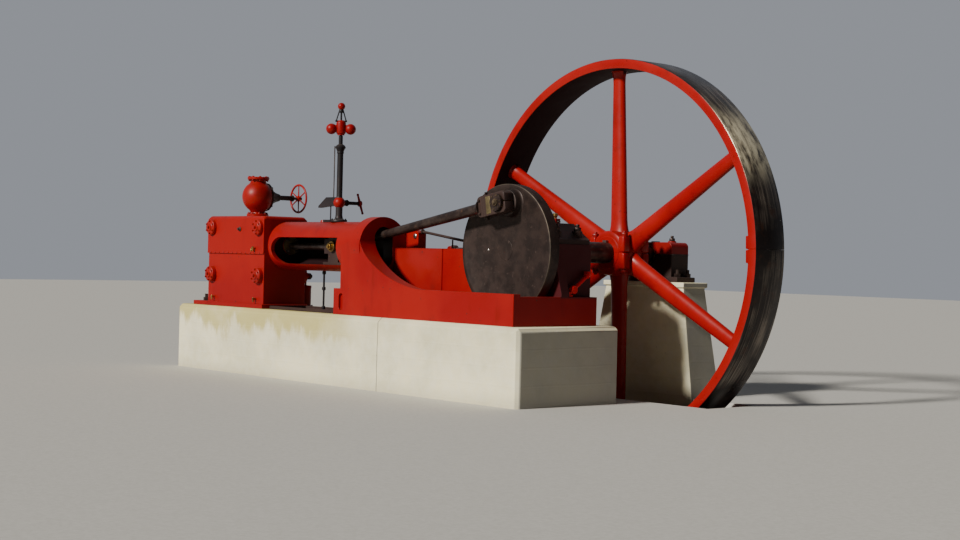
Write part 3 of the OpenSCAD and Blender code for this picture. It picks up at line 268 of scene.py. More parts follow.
@dataclass(frozen=True)
class Enamel(Finish):
    """Brushed-on machine enamel over cast iron, faded and grimy in places."""

    name: str
    fresh: Colour
    faded: Colour
    grime: Colour
    chipped: Colour = (0.045, 0.03, 0.026)
    rough: float = 0.34
    wear: float = 0.685
    dust: Colour = (0.3, 0.11, 0.075)
    dusty: float = 0.1
    # The next colour is the oil-black of the guide's bore, and also the colour of the painted shade in
    # the bore and the trough.
    oil: Colour = (0.022, 0.009, 0.01)
    # The next colour is painted shade for the jaw beside the crank disc.
    painted_shade: Colour = (0.03, 0.011, 0.014)
    # bore and trough switch on the oil-black and painted shade of the guide's bore, and the painted
    # shade of the trough and the jaw.
    bore: float = 0.0
    trough: bool = False

    def paint_oil_and_shade(self, shader: Shader, colour: object) -> object:
        """Paints the guide's bore oil-black, which also stands in for the shade inside it, and paints
        shade into the trough and onto the jaw.

        Args:
            shader: Shader being wired.
            colour: Colour of the paint.

        Returns:
            The colour with its oil-black and painted shade.
        """
        s = shader
        if self.bore:
            # Bore: oiled bare iron painted near black, which also stands in for the shade inside the
            # guide.
            inside = s.between(s.from_line(1), self.bore + 0.006, self.bore)
            deep = s.between(s.along(0), BORE_END, BORE_END - 0.012)
            colour = s.blend(s.times(inside, deep), colour, self.oil)
        if self.trough:
            # Painted shade in the trough between the walls, darker lower down where the walls shade
            # it; the oil colour serves as the shade colour here.
            wander = s.times(s.noise(5.0, 4.0), 0.08)
            depth = s.between(s.plus(s.along(2), wander), 2.56, 2.3)
            well = s.times(s.within(1, *TROUGH_Y, 0.03), s.within(0, *TROUGH_X))
            colour = s.blend(s.times(depth, s.times(well, 0.93)), colour, self.oil)
            # Painted shade on the jaw beside the crank disc.
            jaw = s.times(s.within(1, *JAW_Y, 0.01), s.within(0, *JAW_X, 0.01))
            jaw = s.times(jaw, s.between(s.along(2), 2.0, 2.034))
            colour = s.blend(s.times(jaw, 0.86), colour, self.painted_shade)
        return colour

    def make(self, shader: Shader) -> bpy.types.Material:
        """Wires fading, streaks, chips, dust and a cast grain."""
        s = shader
        fading = s.between(s.noise(0.8, 3.0), 0.4, 0.62)
        colour = s.blend(fading, self.fresh, self.faded)
        streaks = s.between(s.noise(7.0, 5.0, (1, 1, 0.22)), 0.56, 0.8)
        colour = s.blend(s.times(streaks, 0.34), colour, self.grime)
        blotches = s.between(s.noise(2.3, 6.0), 0.56, 0.74)
        colour = s.blend(s.times(blotches, 0.42), colour, self.grime)
        dust = s.times(s.between(s.facing(2), 0.55, 1.0), self.dusty)
        colour = s.blend(dust, colour, self.dust)
        chips = s.between(s.noise(26.0, 5.0), self.wear, self.wear + 0.012)
        colour = s.blend(chips, colour, self.chipped)
        colour = self.paint_oil_and_shade(s, colour)
        gloss = s.times(s.noise(3.1, 5.0), 0.3)
        s.bumps((s.noise(9.0, 5.0), 0.25, 0.006), (s.noise(140.0, 3.0), 0.16, 0.0015),
                (chips, 0.3, -0.0006))
        return s.dress(Base_Color=colour, Roughness=s.plus(gloss, self.rough - 0.1),
                       Specular_IOR_Level=0.24)


@dataclass(frozen=True)
class WheelPaint(Finish):
    """Red enamel on the wheel, with a bare rolled band, a painted highlight on it and a dark inner
    rim.
    """

    name: str = "wheel_enamel_and_bare_band"
    red: Colour = (0.3, 0.004, 0.004)
    faded: Colour = (0.36, 0.009, 0.007)
    grime: Colour = (0.12, 0.009, 0.008)
    iron: Colour = (0.016, 0.011, 0.011)
    polished: Colour = (0.2, 0.165, 0.135)
    # The next colour and band of heights belong to the painted highlight on the rim.
    painted_highlight_colour: Colour = (0.78, 0.7, 0.5)
    painted_highlight_z: tuple[float, float] = (SHAFT + 0.72, SHAFT + 1.75)
    shaded: Colour = (0.028, 0.012, 0.013)
    rust: Colour = (0.06, 0.026, 0.015)
    outer: float = 2.2792
    inner: float = 2.171

    def make(self, shader: Shader) -> bpy.types.Material:
        """Wires the red faces and the metal of the rim by their distance from the shaft."""
        s = shader
        fading = s.between(s.noise(0.9, 3.0), 0.4, 0.62)
        red = s.blend(fading, self.red, self.faded)
        streaks = s.between(s.noise(4.0, 5.0), 0.55, 0.78)
        red = s.blend(s.times(streaks, 0.5), red, self.grime)
        chips = s.between(s.noise(24.0, 5.0), 0.69, 0.7)
        red = s.blend(chips, red, self.iron)
        reach = s.plus(s.from_line(), s.times(s.noise(14.0, 4.0), 0.006))
        band = s.between(reach, self.outer + 0.002, self.outer + 0.0045)
        lines = s.between(s.noise(3.0, 6.0, (0.5, 16.0, 0.5)), 0.4, 0.66)
        worn = s.between(s.noise(1.1, 4.0), 0.42, 0.62)
        bare = s.blend(s.times(lines, worn), self.iron, self.polished)
        bare = s.blend(s.between(s.noise(6.0, 6.0), 0.55, 0.75), bare, self.rust)
        # Painted highlight: a pale ragged patch on the upper crankward part of the bare band stands in
        # for a sky reflection.
        painted_highlight = s.times(s.within(2, *self.painted_highlight_z, 0.42), s.between(s.along(0), 0.4, 1.0))
        ragged = s.between(s.noise(4.0, 5.0, (1, 3.0, 1)), 0.3, 0.62)
        bare = s.blend(s.times(painted_highlight, ragged), bare, self.painted_highlight_colour)
        colour = s.blend(band, red, bare)
        ring = s.times(s.between(s.from_line(), 2.1, self.inner - 0.02),
                       s.between(s.times(s.from_line(), -1.0), -self.inner - 0.003,
                                 -self.inner - 0.0015))
        flat = s.minus(1.0, s.between(s.maths("ABSOLUTE", s.facing(1)), 0.35, 0.6))
        under = s.times(ring, flat)
        colour = s.blend(under, colour, self.shaded)
        rough = s.plus(s.times(s.noise(5.0, 5.0), 0.35), 0.14)
        rough = s.plus(rough, s.times(under, 0.4))
        s.bumps((s.noise(8.0, 5.0), 0.22, 0.005), (s.noise(120.0, 3.0), 0.14, 0.0012),
                (lines, 0.1, 0.001))
        sheen = s.minus(0.26, s.times(under, 0.2))
        return s.dress(Base_Color=colour, Roughness=rough, Metallic=s.times(band, 0.3),
                       Specular_IOR_Level=sheen)


@dataclass(frozen=True)
class Metal(Finish):
    """Bare iron, steel or brass with oxide, oil and tool marks."""

    name: str
    light: Colour
    dark: Colour
    rust: Colour
    metallic: float = 0.85
    rough: float = 0.36
    age: float = 0.5
    turned: bool = False

    def make(self, shader: Shader) -> bpy.types.Material:
        """Wires oxide patches, rust and fine scratches."""
        s = shader
        patches = s.between(s.noise(6.0, 6.0), 0.4, 0.62)
        colour = s.blend(patches, self.light, self.dark)
        spots = s.between(s.noise(17.0, 6.0), 0.62 - 0.1 * self.age, 0.72)
        colour = s.blend(s.times(spots, 0.35 + 0.5 * self.age), colour, self.rust)
        scratches = s.noise(40.0, 3.0, (0.15, 3.0, 0.15))
        if self.turned:
            rings = s.add("TexNoise", noise_dimensions="1D")
            s.feed(rings.inputs["W"], s.from_line())
            rings.inputs["Scale"].default_value = 90.0
            scratches = rings.outputs["Fac"]
        rough = s.plus(s.times(s.noise(11.0, 5.0), 0.34), self.rough - 0.15)
        s.bumps((s.noise(70.0, 4.0), 0.2, 0.0012), (scratches, 0.12, 0.001))
        dull = s.minus(self.metallic, s.times(spots, 0.5))
        return s.dress(Base_Color=colour, Roughness=rough, Metallic=dull)


@dataclass(frozen=True)
class Concrete(Finish):
    """Board-marked weathered concrete, stained below its top edge."""

    name: str
    pale: Colour = (0.9, 0.84, 0.57)
    grey: Colour = (0.71, 0.67, 0.46)
    stain: Colour = (0.5, 0.43, 0.13)
    mottled: Colour = (0.9, 0.87, 0.76)
    damp: Colour = (0.34, 0.31, 0.24)
    crack: Colour = (0.16, 0.14, 0.11)
    # The next colour is the bluish grey of the painted shade on crankward faces.
    painted_shade: Colour = (0.18, 0.19, 0.235)
    pit: Colour = (0.2, 0.18, 0.15)
    top: float = BLOCK_TOP
    stained_to: float = -2.3
    joint_x: float = -1.525

    def make(self, shader: Shader) -> bpy.types.Material:
        """Wires clouds, board lines, pits, runs, damp, painted shade on crankward faces and one
        casting joint.
        """
        s = shader
        clouds = s.between(s.noise(1.3, 6.0), 0.36, 0.64)
        colour = s.blend(clouds, self.pale, self.grey)
        mottle = s.between(s.noise(9.0, 6.0), 0.35, 0.7)
        colour = s.blend(s.times(mottle, 0.3), colour, self.mottled)
        z = s.along(2)
        left = s.between(s.times(s.along(0), -1.0), -self.stained_to - 0.5, -self.stained_to + 0.4)
        ragged = s.times(s.minus(s.noise(3.2, 6.0, (1, 1, 0.3)), 0.5), 0.9)
        high = s.between(s.plus(z, ragged), self.top - 0.34, self.top - 0.2)
        patchy = s.plus(s.times(s.noise(2.1, 5.0), 0.9), 0.2)
        mark = s.times(s.times(high, patchy), s.plus(left, 0.12))
        colour = s.blend(s.maths("MINIMUM", mark, 0.8), colour, self.stain)
        damp = s.between(s.plus(z, s.times(s.noise(2.6, 4.0), 0.16)),
                         GROUND + 0.26, GROUND + 0.06)
        colour = s.blend(s.times(damp, 0.4), colour, self.damp)
        offset = s.plus(s.minus(s.along(0), self.joint_x),
                        s.times(s.minus(s.noise(3.0, 3.0), 0.5), 0.03))
        joint = s.between(s.maths("ABSOLUTE", offset), 0.009, 0.003)
        colour = s.blend(s.times(joint, 0.75), colour, self.crack)
        # Painted shade: faces that face crankward (+X) are darkened towards a bluish grey.
        end = s.between(s.facing(0), 0.6, 0.95)
        colour = s.blend(s.times(end, 0.6), colour, self.painted_shade)
        pits = s.between(s.noise(46.0, 3.0), 0.68, 0.74)
        colour = s.blend(s.times(pits, 0.6), colour, self.pit)
        board = s.add("TexWave", bands_direction="Z")
        s.feed(board.inputs["Vector"], s.place)
        board.inputs["Scale"].default_value = 1.6
        board.inputs["Distortion"].default_value = 0.5
        lines = s.between(board.outputs["Fac"], 0.96, 1.0)
        s.bumps((s.noise(2.0, 5.0), 0.3, 0.02), (s.noise(80.0, 5.0), 0.35, 0.002),
                (lines, 0.35, 0.003), (pits, 0.5, -0.003), (joint, 0.7, -0.008))
        return s.dress(Base_Color=colour, Roughness=0.86, Specular_IOR_Level=0.3)


RED_FRESH, RED_FADED = (0.27, 0.003, 0.004), (0.32, 0.007, 0.005)
RED_GRIME = (0.1, 0.004, 0.005)
RED = Enamel("red_enamel", RED_FRESH, RED_FADED, RED_GRIME)
# The bed's enamel paints shade into the guide's bore, the trough and the jaw; the guide's enamel
# paints it into the bore.
BED_RED = Enamel("bed_red_enamel", RED_FRESH, RED_FADED, RED_GRIME, bore=GUIDE_BORE, trough=True)
GUIDE_RED = Enamel("guide_red_enamel", RED_FRESH, RED_FADED, RED_GRIME, bore=GUIDE_BORE)
# A darker copy of the red: painted shade for the outboard cap, the far-side gear and the nuts and
# bolts.
SHADED_RED = Enamel("shaded_red_enamel", (0.22, 0.005, 0.006), (0.27, 0.008, 0.007),
                  (0.1, 0.008, 0.008))
BLACK = Enamel("black_enamel", (0.014, 0.012, 0.014), (0.03, 0.024, 0.026),
               (0.045, 0.026, 0.022), (0.1, 0.02, 0.014), 0.42, 0.7, (0.16, 0.13, 0.11), 0.3)
BROWN = Enamel("brown_black_iron", (0.034, 0.019, 0.018), (0.05, 0.03, 0.026),
               (0.06, 0.024, 0.016), (0.11, 0.045, 0.02), 0.44, 0.66, (0.13, 0.1, 0.08), 0.3)
STEEL = Metal("oiled_steel", (0.2, 0.17, 0.16), (0.075, 0.055, 0.05), (0.1, 0.045, 0.022))
OXIDE = Metal("brown_oxide_steel", (0.085, 0.06, 0.052), (0.04, 0.026, 0.024),
              (0.1, 0.045, 0.022), 0.7, 0.4, 0.6)
DISC = Metal("turned_dark_disc", (0.042, 0.026, 0.022), (0.024, 0.015, 0.013),
             (0.055, 0.031, 0.022), 0.45, 0.48, 0.3, True)
BRASS = Metal("dull_brass", (0.52, 0.34, 0.11), (0.25, 0.16, 0.06), (0.12, 0.1, 0.05), 0.95,
              0.34, 0.3)
BRONZE = Metal("oily_bronze", (0.24, 0.19, 0.085), (0.13, 0.1, 0.05), (0.1, 0.06, 0.03), 0.6, 0.45,
               0.4)
BRIGHT = Metal("bright_steel", (0.5, 0.48, 0.46), (0.3, 0.27, 0.25), (0.2, 0.11, 0.06), 0.95,
               0.26, 0.1)
EDGE = Metal("lighter_disc_rim_band", (0.09, 0.07, 0.052), (0.05, 0.038, 0.03), (0.08, 0.04, 0.024),
             0.6, 0.5, 0.4)
# A lighter copy of the red, painting sunlight onto the wedge adjuster that sits in shade.
LIT_RED = Enamel("painted_lit_red_enamel", (0.75, 0.012, 0.014), (0.8, 0.02, 0.016), RED_GRIME)
OLIVE = Metal("olive_brown_cap", (0.15, 0.105, 0.06), (0.06, 0.042, 0.026), (0.09, 0.045, 0.02), 0.5,
              0.5, 0.4)
BLOCK = Concrete("weathered_concrete")
PIER = Concrete("pier_concrete", top=2.19, stained_to=-9.0, joint_x=-9.0)
WHEEL = WheelPaint()


# Forming


class Former:
    """Gathers the solids of one piece in one bmesh and turns them into an object."""

    def __init__(self) -> None:
        """Starts an empty piece."""
        self.bm = bmesh.new()

    def soften(self, verts: list, width: float, steps: int, angle: float = 30.0,
               spared: Callable[[Vector], bool] | None = None) -> None:
        """Rounds the sharp edges among some vertices.

        Args:
            verts: Vertices whose edges are looked at.
            width: Radius of the rounding.
            steps: Facets of each rounded edge.
            angle: Angle between faces above which an edge is sharp.
            spared: Tells of a place whether an edge with both ends there stays sharp.
        """
        if width <= 0.0:
            return
        own = set(verts)
        edges = [e for e in self.bm.edges if e.verts[0] in own and e.verts[1] in own
                 and len(e.link_faces) == 2
                 and e.calc_face_angle(0.0) > math.radians(angle)
                 and not (spared and all(spared(v.co) for v in e.verts))]
        bmesh.ops.bevel(self.bm, geom=edges, offset=width, offset_type="OFFSET", segments=steps,
                        profile=0.5, affect="EDGES", clamp_overlap=True, material=-1)

    @staticmethod
    def toward(origin: Point, axis: Point) -> Matrix:
        """Returns the placing that turns local +Z to the axis at the origin."""
        turn = Vector(axis).to_track_quat("Z", "Y").to_matrix().to_4x4()
        return Matrix.Translation(origin) @ turn

    def block(self, low: Point, high: Point, soft: float = 0.0, steps: int = 2,
              turn: Matrix | None = None) -> None:
        """Adds a box between two corners.

        Args:
            low: Lowest corner.
            high: Highest corner.
            soft: Radius of its edges.
            steps: Facets of each rounded edge.
            turn: Placing after it is made, for a box in turned axes.
        """
        verts = bmesh.ops.create_cube(self.bm, size=1.0)["verts"]
        size = [b - a for a, b in zip(low, high)]
        middle = [(a + b) / 2 for a, b in zip(low, high)]
        place = Matrix.Translation(middle) @ Matrix.Diagonal((*size, 1.0))
        bmesh.ops.transform(self.bm, matrix=(turn or Matrix()) @ place, verts=verts)
        self.soften(verts, soft, steps)

    def bar(self, start: Point, end: Point, radius: float, end_radius: float | None = None,
            sides: int = 32, soft: float = 0.0) -> None:
        """Adds a round bar, or a taper, from start to end.

        Args:
            start: Middle of its first end.
            end: Middle of its other end.
            radius: Radius at the start.
            end_radius: Radius at the end, the same when left out.
            sides: Facets round the bar.
            soft: Radius of the rims.
        """
        a, b = Vector(start), Vector(end)
        verts = bmesh.ops.create_cone(
            self.bm, cap_ends=True, segments=sides, radius1=radius,
            radius2=radius if end_radius is None else end_radius, depth=(b - a).length)["verts"]
        bmesh.ops.transform(self.bm, matrix=self.toward((a + b) / 2, b - a), verts=verts)
        self.soften(verts, soft, 2, 50.0)

    def turned(self, profile: Outline, origin: Point, axis: Point, sides: int = 64,
               arc: float = 360.0, start: float = 0.0, closed: bool = False) -> None:
        """Adds a turned shape.

        Args:
            profile: Points of radius and distance along the axis.
            origin: Where distance 0 lies.
            axis: Direction of the axis.
            sides: Facets of a full turn.
            arc: Degrees that it is spun through.
            start: Degrees that it starts from.
            closed: Whether the profile closes on itself, as a ring's does.
        """
        before = set(self.bm.verts)
        verts = [self.bm.verts.new((r, 0.0, h)) for r, h in profile]
        pairs = list(zip(verts, verts[1:] + verts[:1]))
        edges = [self.bm.edges.new(p) for p in (pairs if closed else pairs[:-1])]
        full = arc > 359.9
        geom: list = verts + edges
        if closed and not full:
            geom.append(self.bm.faces.new(verts))
        bmesh.ops.rotate(self.bm, verts=verts, cent=ORIGIN,
                         matrix=Matrix.Rotation(math.radians(start), 3, "Z"))
        bmesh.ops.spin(self.bm, geom=geom, cent=ORIGIN, axis=UP,
                       angle=math.radians(arc), steps=max(3, round(sides * arc / 360.0)),
                       use_merge=full, use_duplicate=False)
        made = [v for v in self.bm.verts if v not in before]
        bmesh.ops.remove_doubles(self.bm, verts=made, dist=1e-6)
        made = [v for v in self.bm.verts if v not in before]
        bmesh.ops.transform(self.bm, matrix=self.toward(origin, axis), verts=made)

    def slab(self, outline: Outline, near: float, far: float, soft: float = 0.0, steps: int = 2
             ) -> None:
        """Adds a plate with an outline in x and z, from near to far along y."""
        verts = [self.bm.verts.new((x, near, z)) for x, z in outline]
        face = self.bm.faces.new(verts)
        grown = bmesh.ops.extrude_face_region(self.bm, geom=[face])["geom"]
        moved = [g for g in grown if isinstance(g, bmesh.types.BMVert)]
        bmesh.ops.translate(self.bm, verts=moved, vec=(0, far - near, 0))
        self.soften(verts + moved, soft, steps)

    def lofted(self, sections: Sequence[tuple[float, float, float]], place: Matrix,
               sides: int = 32) -> None:
        """Adds a bar of oval sections along local Z.

        Args:
            sections: Distance along, half width in local X and half width in local Y.
            place: Placing of the bar.
            sides: Facets round the bar.
        """
        before = set(self.bm.verts)
        last = None
        for along, half_x, half_y in sections:
            verts = bmesh.ops.create_circle(self.bm, cap_ends=False, radius=1.0,
                                            segments=sides)["verts"]
            bmesh.ops.transform(self.bm, verts=verts, matrix=Matrix.Translation((0, 0, along))
                                @ Matrix.Diagonal((half_x, half_y, 1.0, 1.0)))
            edges = [e for e in self.bm.edges if e.verts[0] in verts and e.verts[1] in verts]
            if last:
                bmesh.ops.bridge_loops(self.bm, edges=last + edges)
            else:
                self.bm.faces.new(verts)
            last = edges
        self.bm.faces.new(verts)
        made = [v for v in self.bm.verts if v not in before]
        bmesh.ops.transform(self.bm, matrix=place, verts=made)

    def ball(self, centre: Point, radius: float, sides: int = 32) -> None:
        """Adds a ball."""
        bmesh.ops.create_uvsphere(self.bm, u_segments=sides, v_segments=sides // 2,
                                  radius=radius, matrix=Matrix.Translation(centre))

    def nut(self, seat: Point, axis: Point, across: float, stud: float = 0.0) -> None:
        """Adds a chamfered hexagon nut on its seat, with a stud end standing out of it.

        Args:
            seat: Middle of the face that it sits on.
            axis: Direction that it stands in.
            across: Width across its flats.
            stud: How far the stud stands out of the nut.
        """
        r = across / math.sqrt(3.0)
        height = 0.55 * across
        verts = bmesh.ops.create_cone(self.bm, cap_ends=True, segments=6, radius1=r, radius2=r,
                                      depth=height)["verts"]
        place = self.toward(seat, axis)
        bmesh.ops.transform(self.bm, matrix=place @ Matrix.Translation((0, 0, height / 2)),
                            verts=verts)
        self.soften(verts, 0.05 * across, 1, 50.0)
        out = Vector(axis).normalized()
        base = Vector(seat)
        self.bar(base - 0.02 * out * across, base + 0.08 * out * across, 0.62 * across, sides=20)
        if stud:
            self.bar(base + 0.5 * height * out, base + (height + stud) * out, 0.3 * across,
                     sides=16, soft=0.05 * across)

    def nut_circle(self, centre: Point, axis: Point, radius: float, count: int, start: float,
                   across: float, stud: float) -> None:
        """Adds nuts on a bolt circle.

        Args:
            centre: Middle of the circle.
            axis: Direction that the nuts stand in.
            radius: Radius of the circle.
            count: Number of nuts.
            start: Degrees of the first nut.
            across: Width across the flats of each nut.
            stud: How far each stud stands out of its nut.
        """
        for place in bolt_circle(centre, axis, radius, count, start):
            self.nut(place, axis, across, stud)

    def finish(self, name: str, body: Body, finish: Finish, slot: str = "") -> bpy.types.Object:
        """Turns what was gathered into a piece that rides on its body.

        Args:
            name: Name of the piece.
            body: Body that it moves with.
            finish: Finish of its surface.
            slot: Not used.

        Returns:
            The new object.
        """
        bmesh.ops.recalc_face_normals(self.bm, faces=self.bm.faces)
        mesh = bpy.data.meshes.new(name)
        self.bm.to_mesh(mesh)
        self.bm.free()
        mesh.shade_smooth()
        mesh.set_sharp_from_angle(angle=math.radians(SHARP_DEGREES))
        piece = bpy.data.objects.new(name, mesh)
        bpy.context.scene.collection.objects.link(piece)
        mesh.materials.append(finish.material)
        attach(piece, body.value)
        LOG.info("piece %s: %d faces on %s", name, len(mesh.polygons), body.value)
        return piece


def arc(radius: float, degrees: range, middle: float = 0.0, height: float | None = None
        ) -> list[tuple[float, float]]:
    """Returns the points of an arc in a profile.

    Args:
        radius: Radius of the arc, or half the width of an oval.
        degrees: Angles of the points.
        middle: Distance of its middle from the axis.
        height: Half the height of an oval.

    Returns:
        Points of radius and distance along the axis.
    """
    rise = radius if height is None else height
    return [(middle + radius * math.cos(a), rise * math.sin(a)) for a in map(math.radians, degrees)]


def collar(outer: float, half: float, cut: float, drop: float, inner: float = 0.0) -> Outline:
    """Returns the profile of a collar with chamfered rims.

    Args:
        outer: Radius of the collar.
        half: Half its length.
        cut: How far the chamfers reach in.
        drop: How far they reach along.
        inner: Radius of its bore.

    Returns:
        Points of radius and distance along the axis.
    """
    return [(inner, -half), (outer - cut, -half), (outer, drop - half), (outer, half - drop),
            (outer - cut, half), (inner, half)]


def bolt_circle(centre: Point, axis: Point, radius: float, count: int, start: float = 0.0
                ) -> Iterator[Vector]:
    """Yields the places of bolts on a circle.

    Args:
        centre: Middle of the circle.
        axis: Direction that the circle faces.
        radius: Radius of the circle.
        count: Number of bolts.
        start: Degrees of the first bolt.

    Yields:
        The seat of each bolt.
    """
    place = Former.toward(centre, axis)
    for i in range(count):
        a = math.radians(start + 360.0 * i / count)
        yield place @ Vector((radius * math.cos(a), radius * math.sin(a), 0.0))


# Sub-assemblies


@dataclass
class CadDressing:
    """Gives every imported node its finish, red where none is named."""

    finishes: dict[str, Finish]
    usual: Finish = RED

    def dress(self) -> None:
        """Assigns a finish to each node's slots."""
        for name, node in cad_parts.items():
            finish = self.finishes.get(name, self.usual)
            node.data.materials.clear()
            node.data.materials.append(finish.material)
        LOG.info("dressed %d packed nodes", len(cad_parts))


@dataclass(frozen=True)
class Softened:
    """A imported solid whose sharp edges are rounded, as a foundry or a mason leaves them."""

    node: str
    finish: Finish
    body: Body = Body.FRAME
    width: float = 0.008
    steps: int = 2
    spared: Callable[[Vector], bool] | None = None

    def build(self, form: Former | None = None) -> bpy.types.Object:
        """Makes the rounded copy, which stands for its node.

        Args:
            form: Further solids of the same casting, when it has any.

        Returns:
            The casting's object.
        """
        form = form or Former()
        before = set(form.bm.verts)
        form.bm.from_mesh(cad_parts[self.node].data)
        made = [v for v in form.bm.verts if v not in before]
        bmesh.ops.remove_doubles(form.bm, verts=made, dist=2e-5)
        made = [v for v in form.bm.verts if v not in before]
        own = set(made)
        edges = [e for e in form.bm.edges if e.verts[0] in own]
        bmesh.ops.dissolve_limit(form.bm, angle_limit=math.radians(0.6), verts=made, edges=edges,
                                 use_dissolve_boundaries=False, delimit={"NORMAL"})
        form.soften([v for v in form.bm.verts if v not in before], self.width, self.steps, 38.0,
                    self.spared)
        piece = form.finish(f"{self.node}_casting", self.body, self.finish, self.node)
        even = piece.modifiers.new("even_normals", "WEIGHTED_NORMAL")
        even.keep_sharp = True
        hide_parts(self.node)
        return piece


@dataclass
class Foundation:
    """The concrete block and the outboard pier."""

    def build(self) -> None:
        """Builds both blocks."""
        Softened("foundation_block", BLOCK, width=0.016, steps=3).build()
        Softened("outboard_pier", PIER, width=0.012, steps=3).build()


@dataclass
class Bed:
    """The bed frame with its mouth, its walls and the main bearing."""

    mouth_x: float = -2.014
    ring: float = 0.369
    far_wall: float = 0.338
    pipe: tuple[Point, ...] = ((-1.776, 0.4, 2.735), (-1.62, 0.4, 2.715), (-1.1, 0.4, 2.645),
                               (-0.641, 0.42, 2.583))
    ring_x: tuple[float, float] = (-2.206, -2.01)
    ring_top: float = SHAFT + 0.09
    web_x: tuple[float, float] = (-2.02, -0.84)
    hump_plug: tuple[float, float] = (-1.835, 2.68)
    rib_x: tuple[float, float] = (-0.3, -0.7)
    cap_foot: float = 2.61
    cap_top: float = 2.845
    bearing_y: tuple[float, float] = (0.45, 0.77)
    stud_x: float = 0.53
    boss: float = 0.15
    adjuster_x: float = 0.6955
    turns: int = 14
    pitch: float = 0.032

    def casting(self) -> None:
        """Rounds the frame, its webs and its mouth ring, and adds ribs inside its walls."""
        form = Former()
        form.block((-1.01, 0.30, BLOCK_TOP + 0.05), (-0.95, 0.345, BLOCK_TOP + 0.3), 0.012)
        for x in self.rib_x:
            form.block((x - 0.025, -0.27, BLOCK_TOP + 0.04), (x + 0.025, -0.225, BLOCK_TOP + 0.26),
                       0.01)

        def on_ring(place: Vector) -> bool:
            """Tells whether a place lies on the seam of the mouth ring below its arch."""
            return (abs(math.hypot(place.y, place.z - SHAFT) - self.ring) < 2e-3
                    and self.ring_x[0] < place.x < self.ring_x[1] and place.z < self.ring_top)

        def on_near_seam(place: Vector) -> bool:
            """Tells whether a place lies on the seam between the near wall and its web."""
            on_web = abs(place.y - WEB_SEAM) < 1e-3 and self.web_x[0] < place.x < self.web_x[1]
            return on_web or on_ring(place)

        def beside_near_web(place: Vector) -> bool:
            """Tells whether a place of the near web lies on the wall or on the mouth ring."""
            return abs(place.y - WEB_SEAM) < 1e-3 or place.x < self.mouth_x + 5e-4

        def beside_far_web(place: Vector) -> bool:
            """Tells whether a place of the far web lies on the wall or on the mouth ring."""
            return place.y > self.far_wall - 1e-3 or place.x < self.mouth_x + 5e-4

        Softened("bed_frame", BED_RED, width=0.009, spared=on_near_seam).build(form)
        Softened("near_wall_web", RED, width=0.009, spared=beside_near_web).build()
        Softened("far_wall_web", RED, width=0.006, spared=beside_far_web).build()
        Softened("guide_mouth_ring", BED_RED, width=0.01, steps=3, spared=on_ring).build()

    def oil_pipe(self) -> None:
        """Leads an oil pipe from the hump down along the far wall to the jaw, and plugs the hump."""
        form = Former()
        path = self.pipe
        for a, b in zip(path, path[1:]):
            form.bar(a, b, 0.0165, sides=20)
            form.ball(b, 0.0168, 20)
        for end, axis in ((path[0], CRANKWARD), (path[-1], BACKWARD)):
            form.turned([(0.0, 0.0), (0.03, 0.0), (0.03, 0.014), (0.022, 0.02), (0.0, 0.02)], end,
                        axis, 24)
        form.bar((-1.2, 0.4, 2.53), (-1.2, 0.4, 2.64), 0.009, sides=16)
        form.finish("far_wall_oil_pipe", Body.FRAME, BROWN, "bed_frame")
        x, z = self.hump_plug
        plug = Former()
        plug.turned([(0.0, -0.004), (0.03, -0.004), (0.03, 0.008), (0.022, 0.014), (0.012, 0.016),
                     (0.0, 0.016)], (x, self.far_wall, z), NEAR, 28)
        plug.finish("hump_plug", Body.FRAME, BRIGHT, "foundation_nuts")

    def bearing(self) -> None:
        """Builds the main bearing's cap with its bosses, studs and nuts."""
        bosses, nuts = Former(), Former()
        for x in (-self.stud_x, self.stud_x):
            for y in self.bearing_y:
                seat = (x, y, self.cap_foot + self.boss)
                bosses.bar((x, y, self.cap_foot - 0.01), seat, 0.062, 0.056, 32, 0.006)
                nuts.nut(seat, UP, 0.075, 0.035)
        bosses.block((-0.16, 0.5, self.cap_top - 0.01), (0.16, 0.72, self.cap_top + 0.03), 0.012)
        for x in (-0.12, 0.12):
            nuts.nut((x, 0.61, self.cap_top + 0.03), UP, 0.035, 0.012)
        Softened("main_bearing_cap", BROWN, width=0.012).build(bosses)
        nuts.finish("main_bearing_nuts", Body.FRAME, OXIDE, "foundation_nuts")

    def adjuster(self) -> None:
        """Builds the slanting screw that sets the bearing's wedge, with its knob and lug."""
        form = Former()
        x = self.adjuster_x
        low, high = Vector((x, 0.5, 2.06)), Vector((x, 0.8, 2.285))
        form.bar(low, high, 0.02, sides=24, soft=0.004)
        for k in range(self.turns):
            thread = [low.lerp(high, share + self.pitch * k) for share in (0.48, 0.494)]
            form.bar(*thread, 0.0225, sides=20)
        form.block((x - 0.036, 0.46, 2.03), (x + 0.036, 0.53, 2.054), 0.005)
        form.block((x - 0.02, 0.475, 2.05), (x + 0.02, 0.52, 2.085), 0.006)
        form.block((0.64, 0.77, 2.255), (x + 0.02, 0.83, 2.315), 0.01, 3)
        form.turned([(0.0, -0.03), (0.036, -0.03), (0.046, -0.022), (0.048, -0.01), (0.044, 0.0),
                     (0.048, 0.01), (0.046, 0.022), (0.036, 0.03), (0.0, 0.03)],
                    (x, 0.57, 2.109), CRANKWARD, 40)
        form.nut(low.lerp(high, 0.9), high - low, 0.055)
        # The adjuster takes the lighter red as painted sunlight.
        piece = form.finish("wedge_adjuster", Body.FRAME, LIT_RED, "bearing_adjuster")
        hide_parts("bearing_adjuster")

    def build(self) -> None:
        """Builds the bed and what it carries."""
        self.casting()
        self.oil_pipe()
        self.bearing()
        self.adjuster()


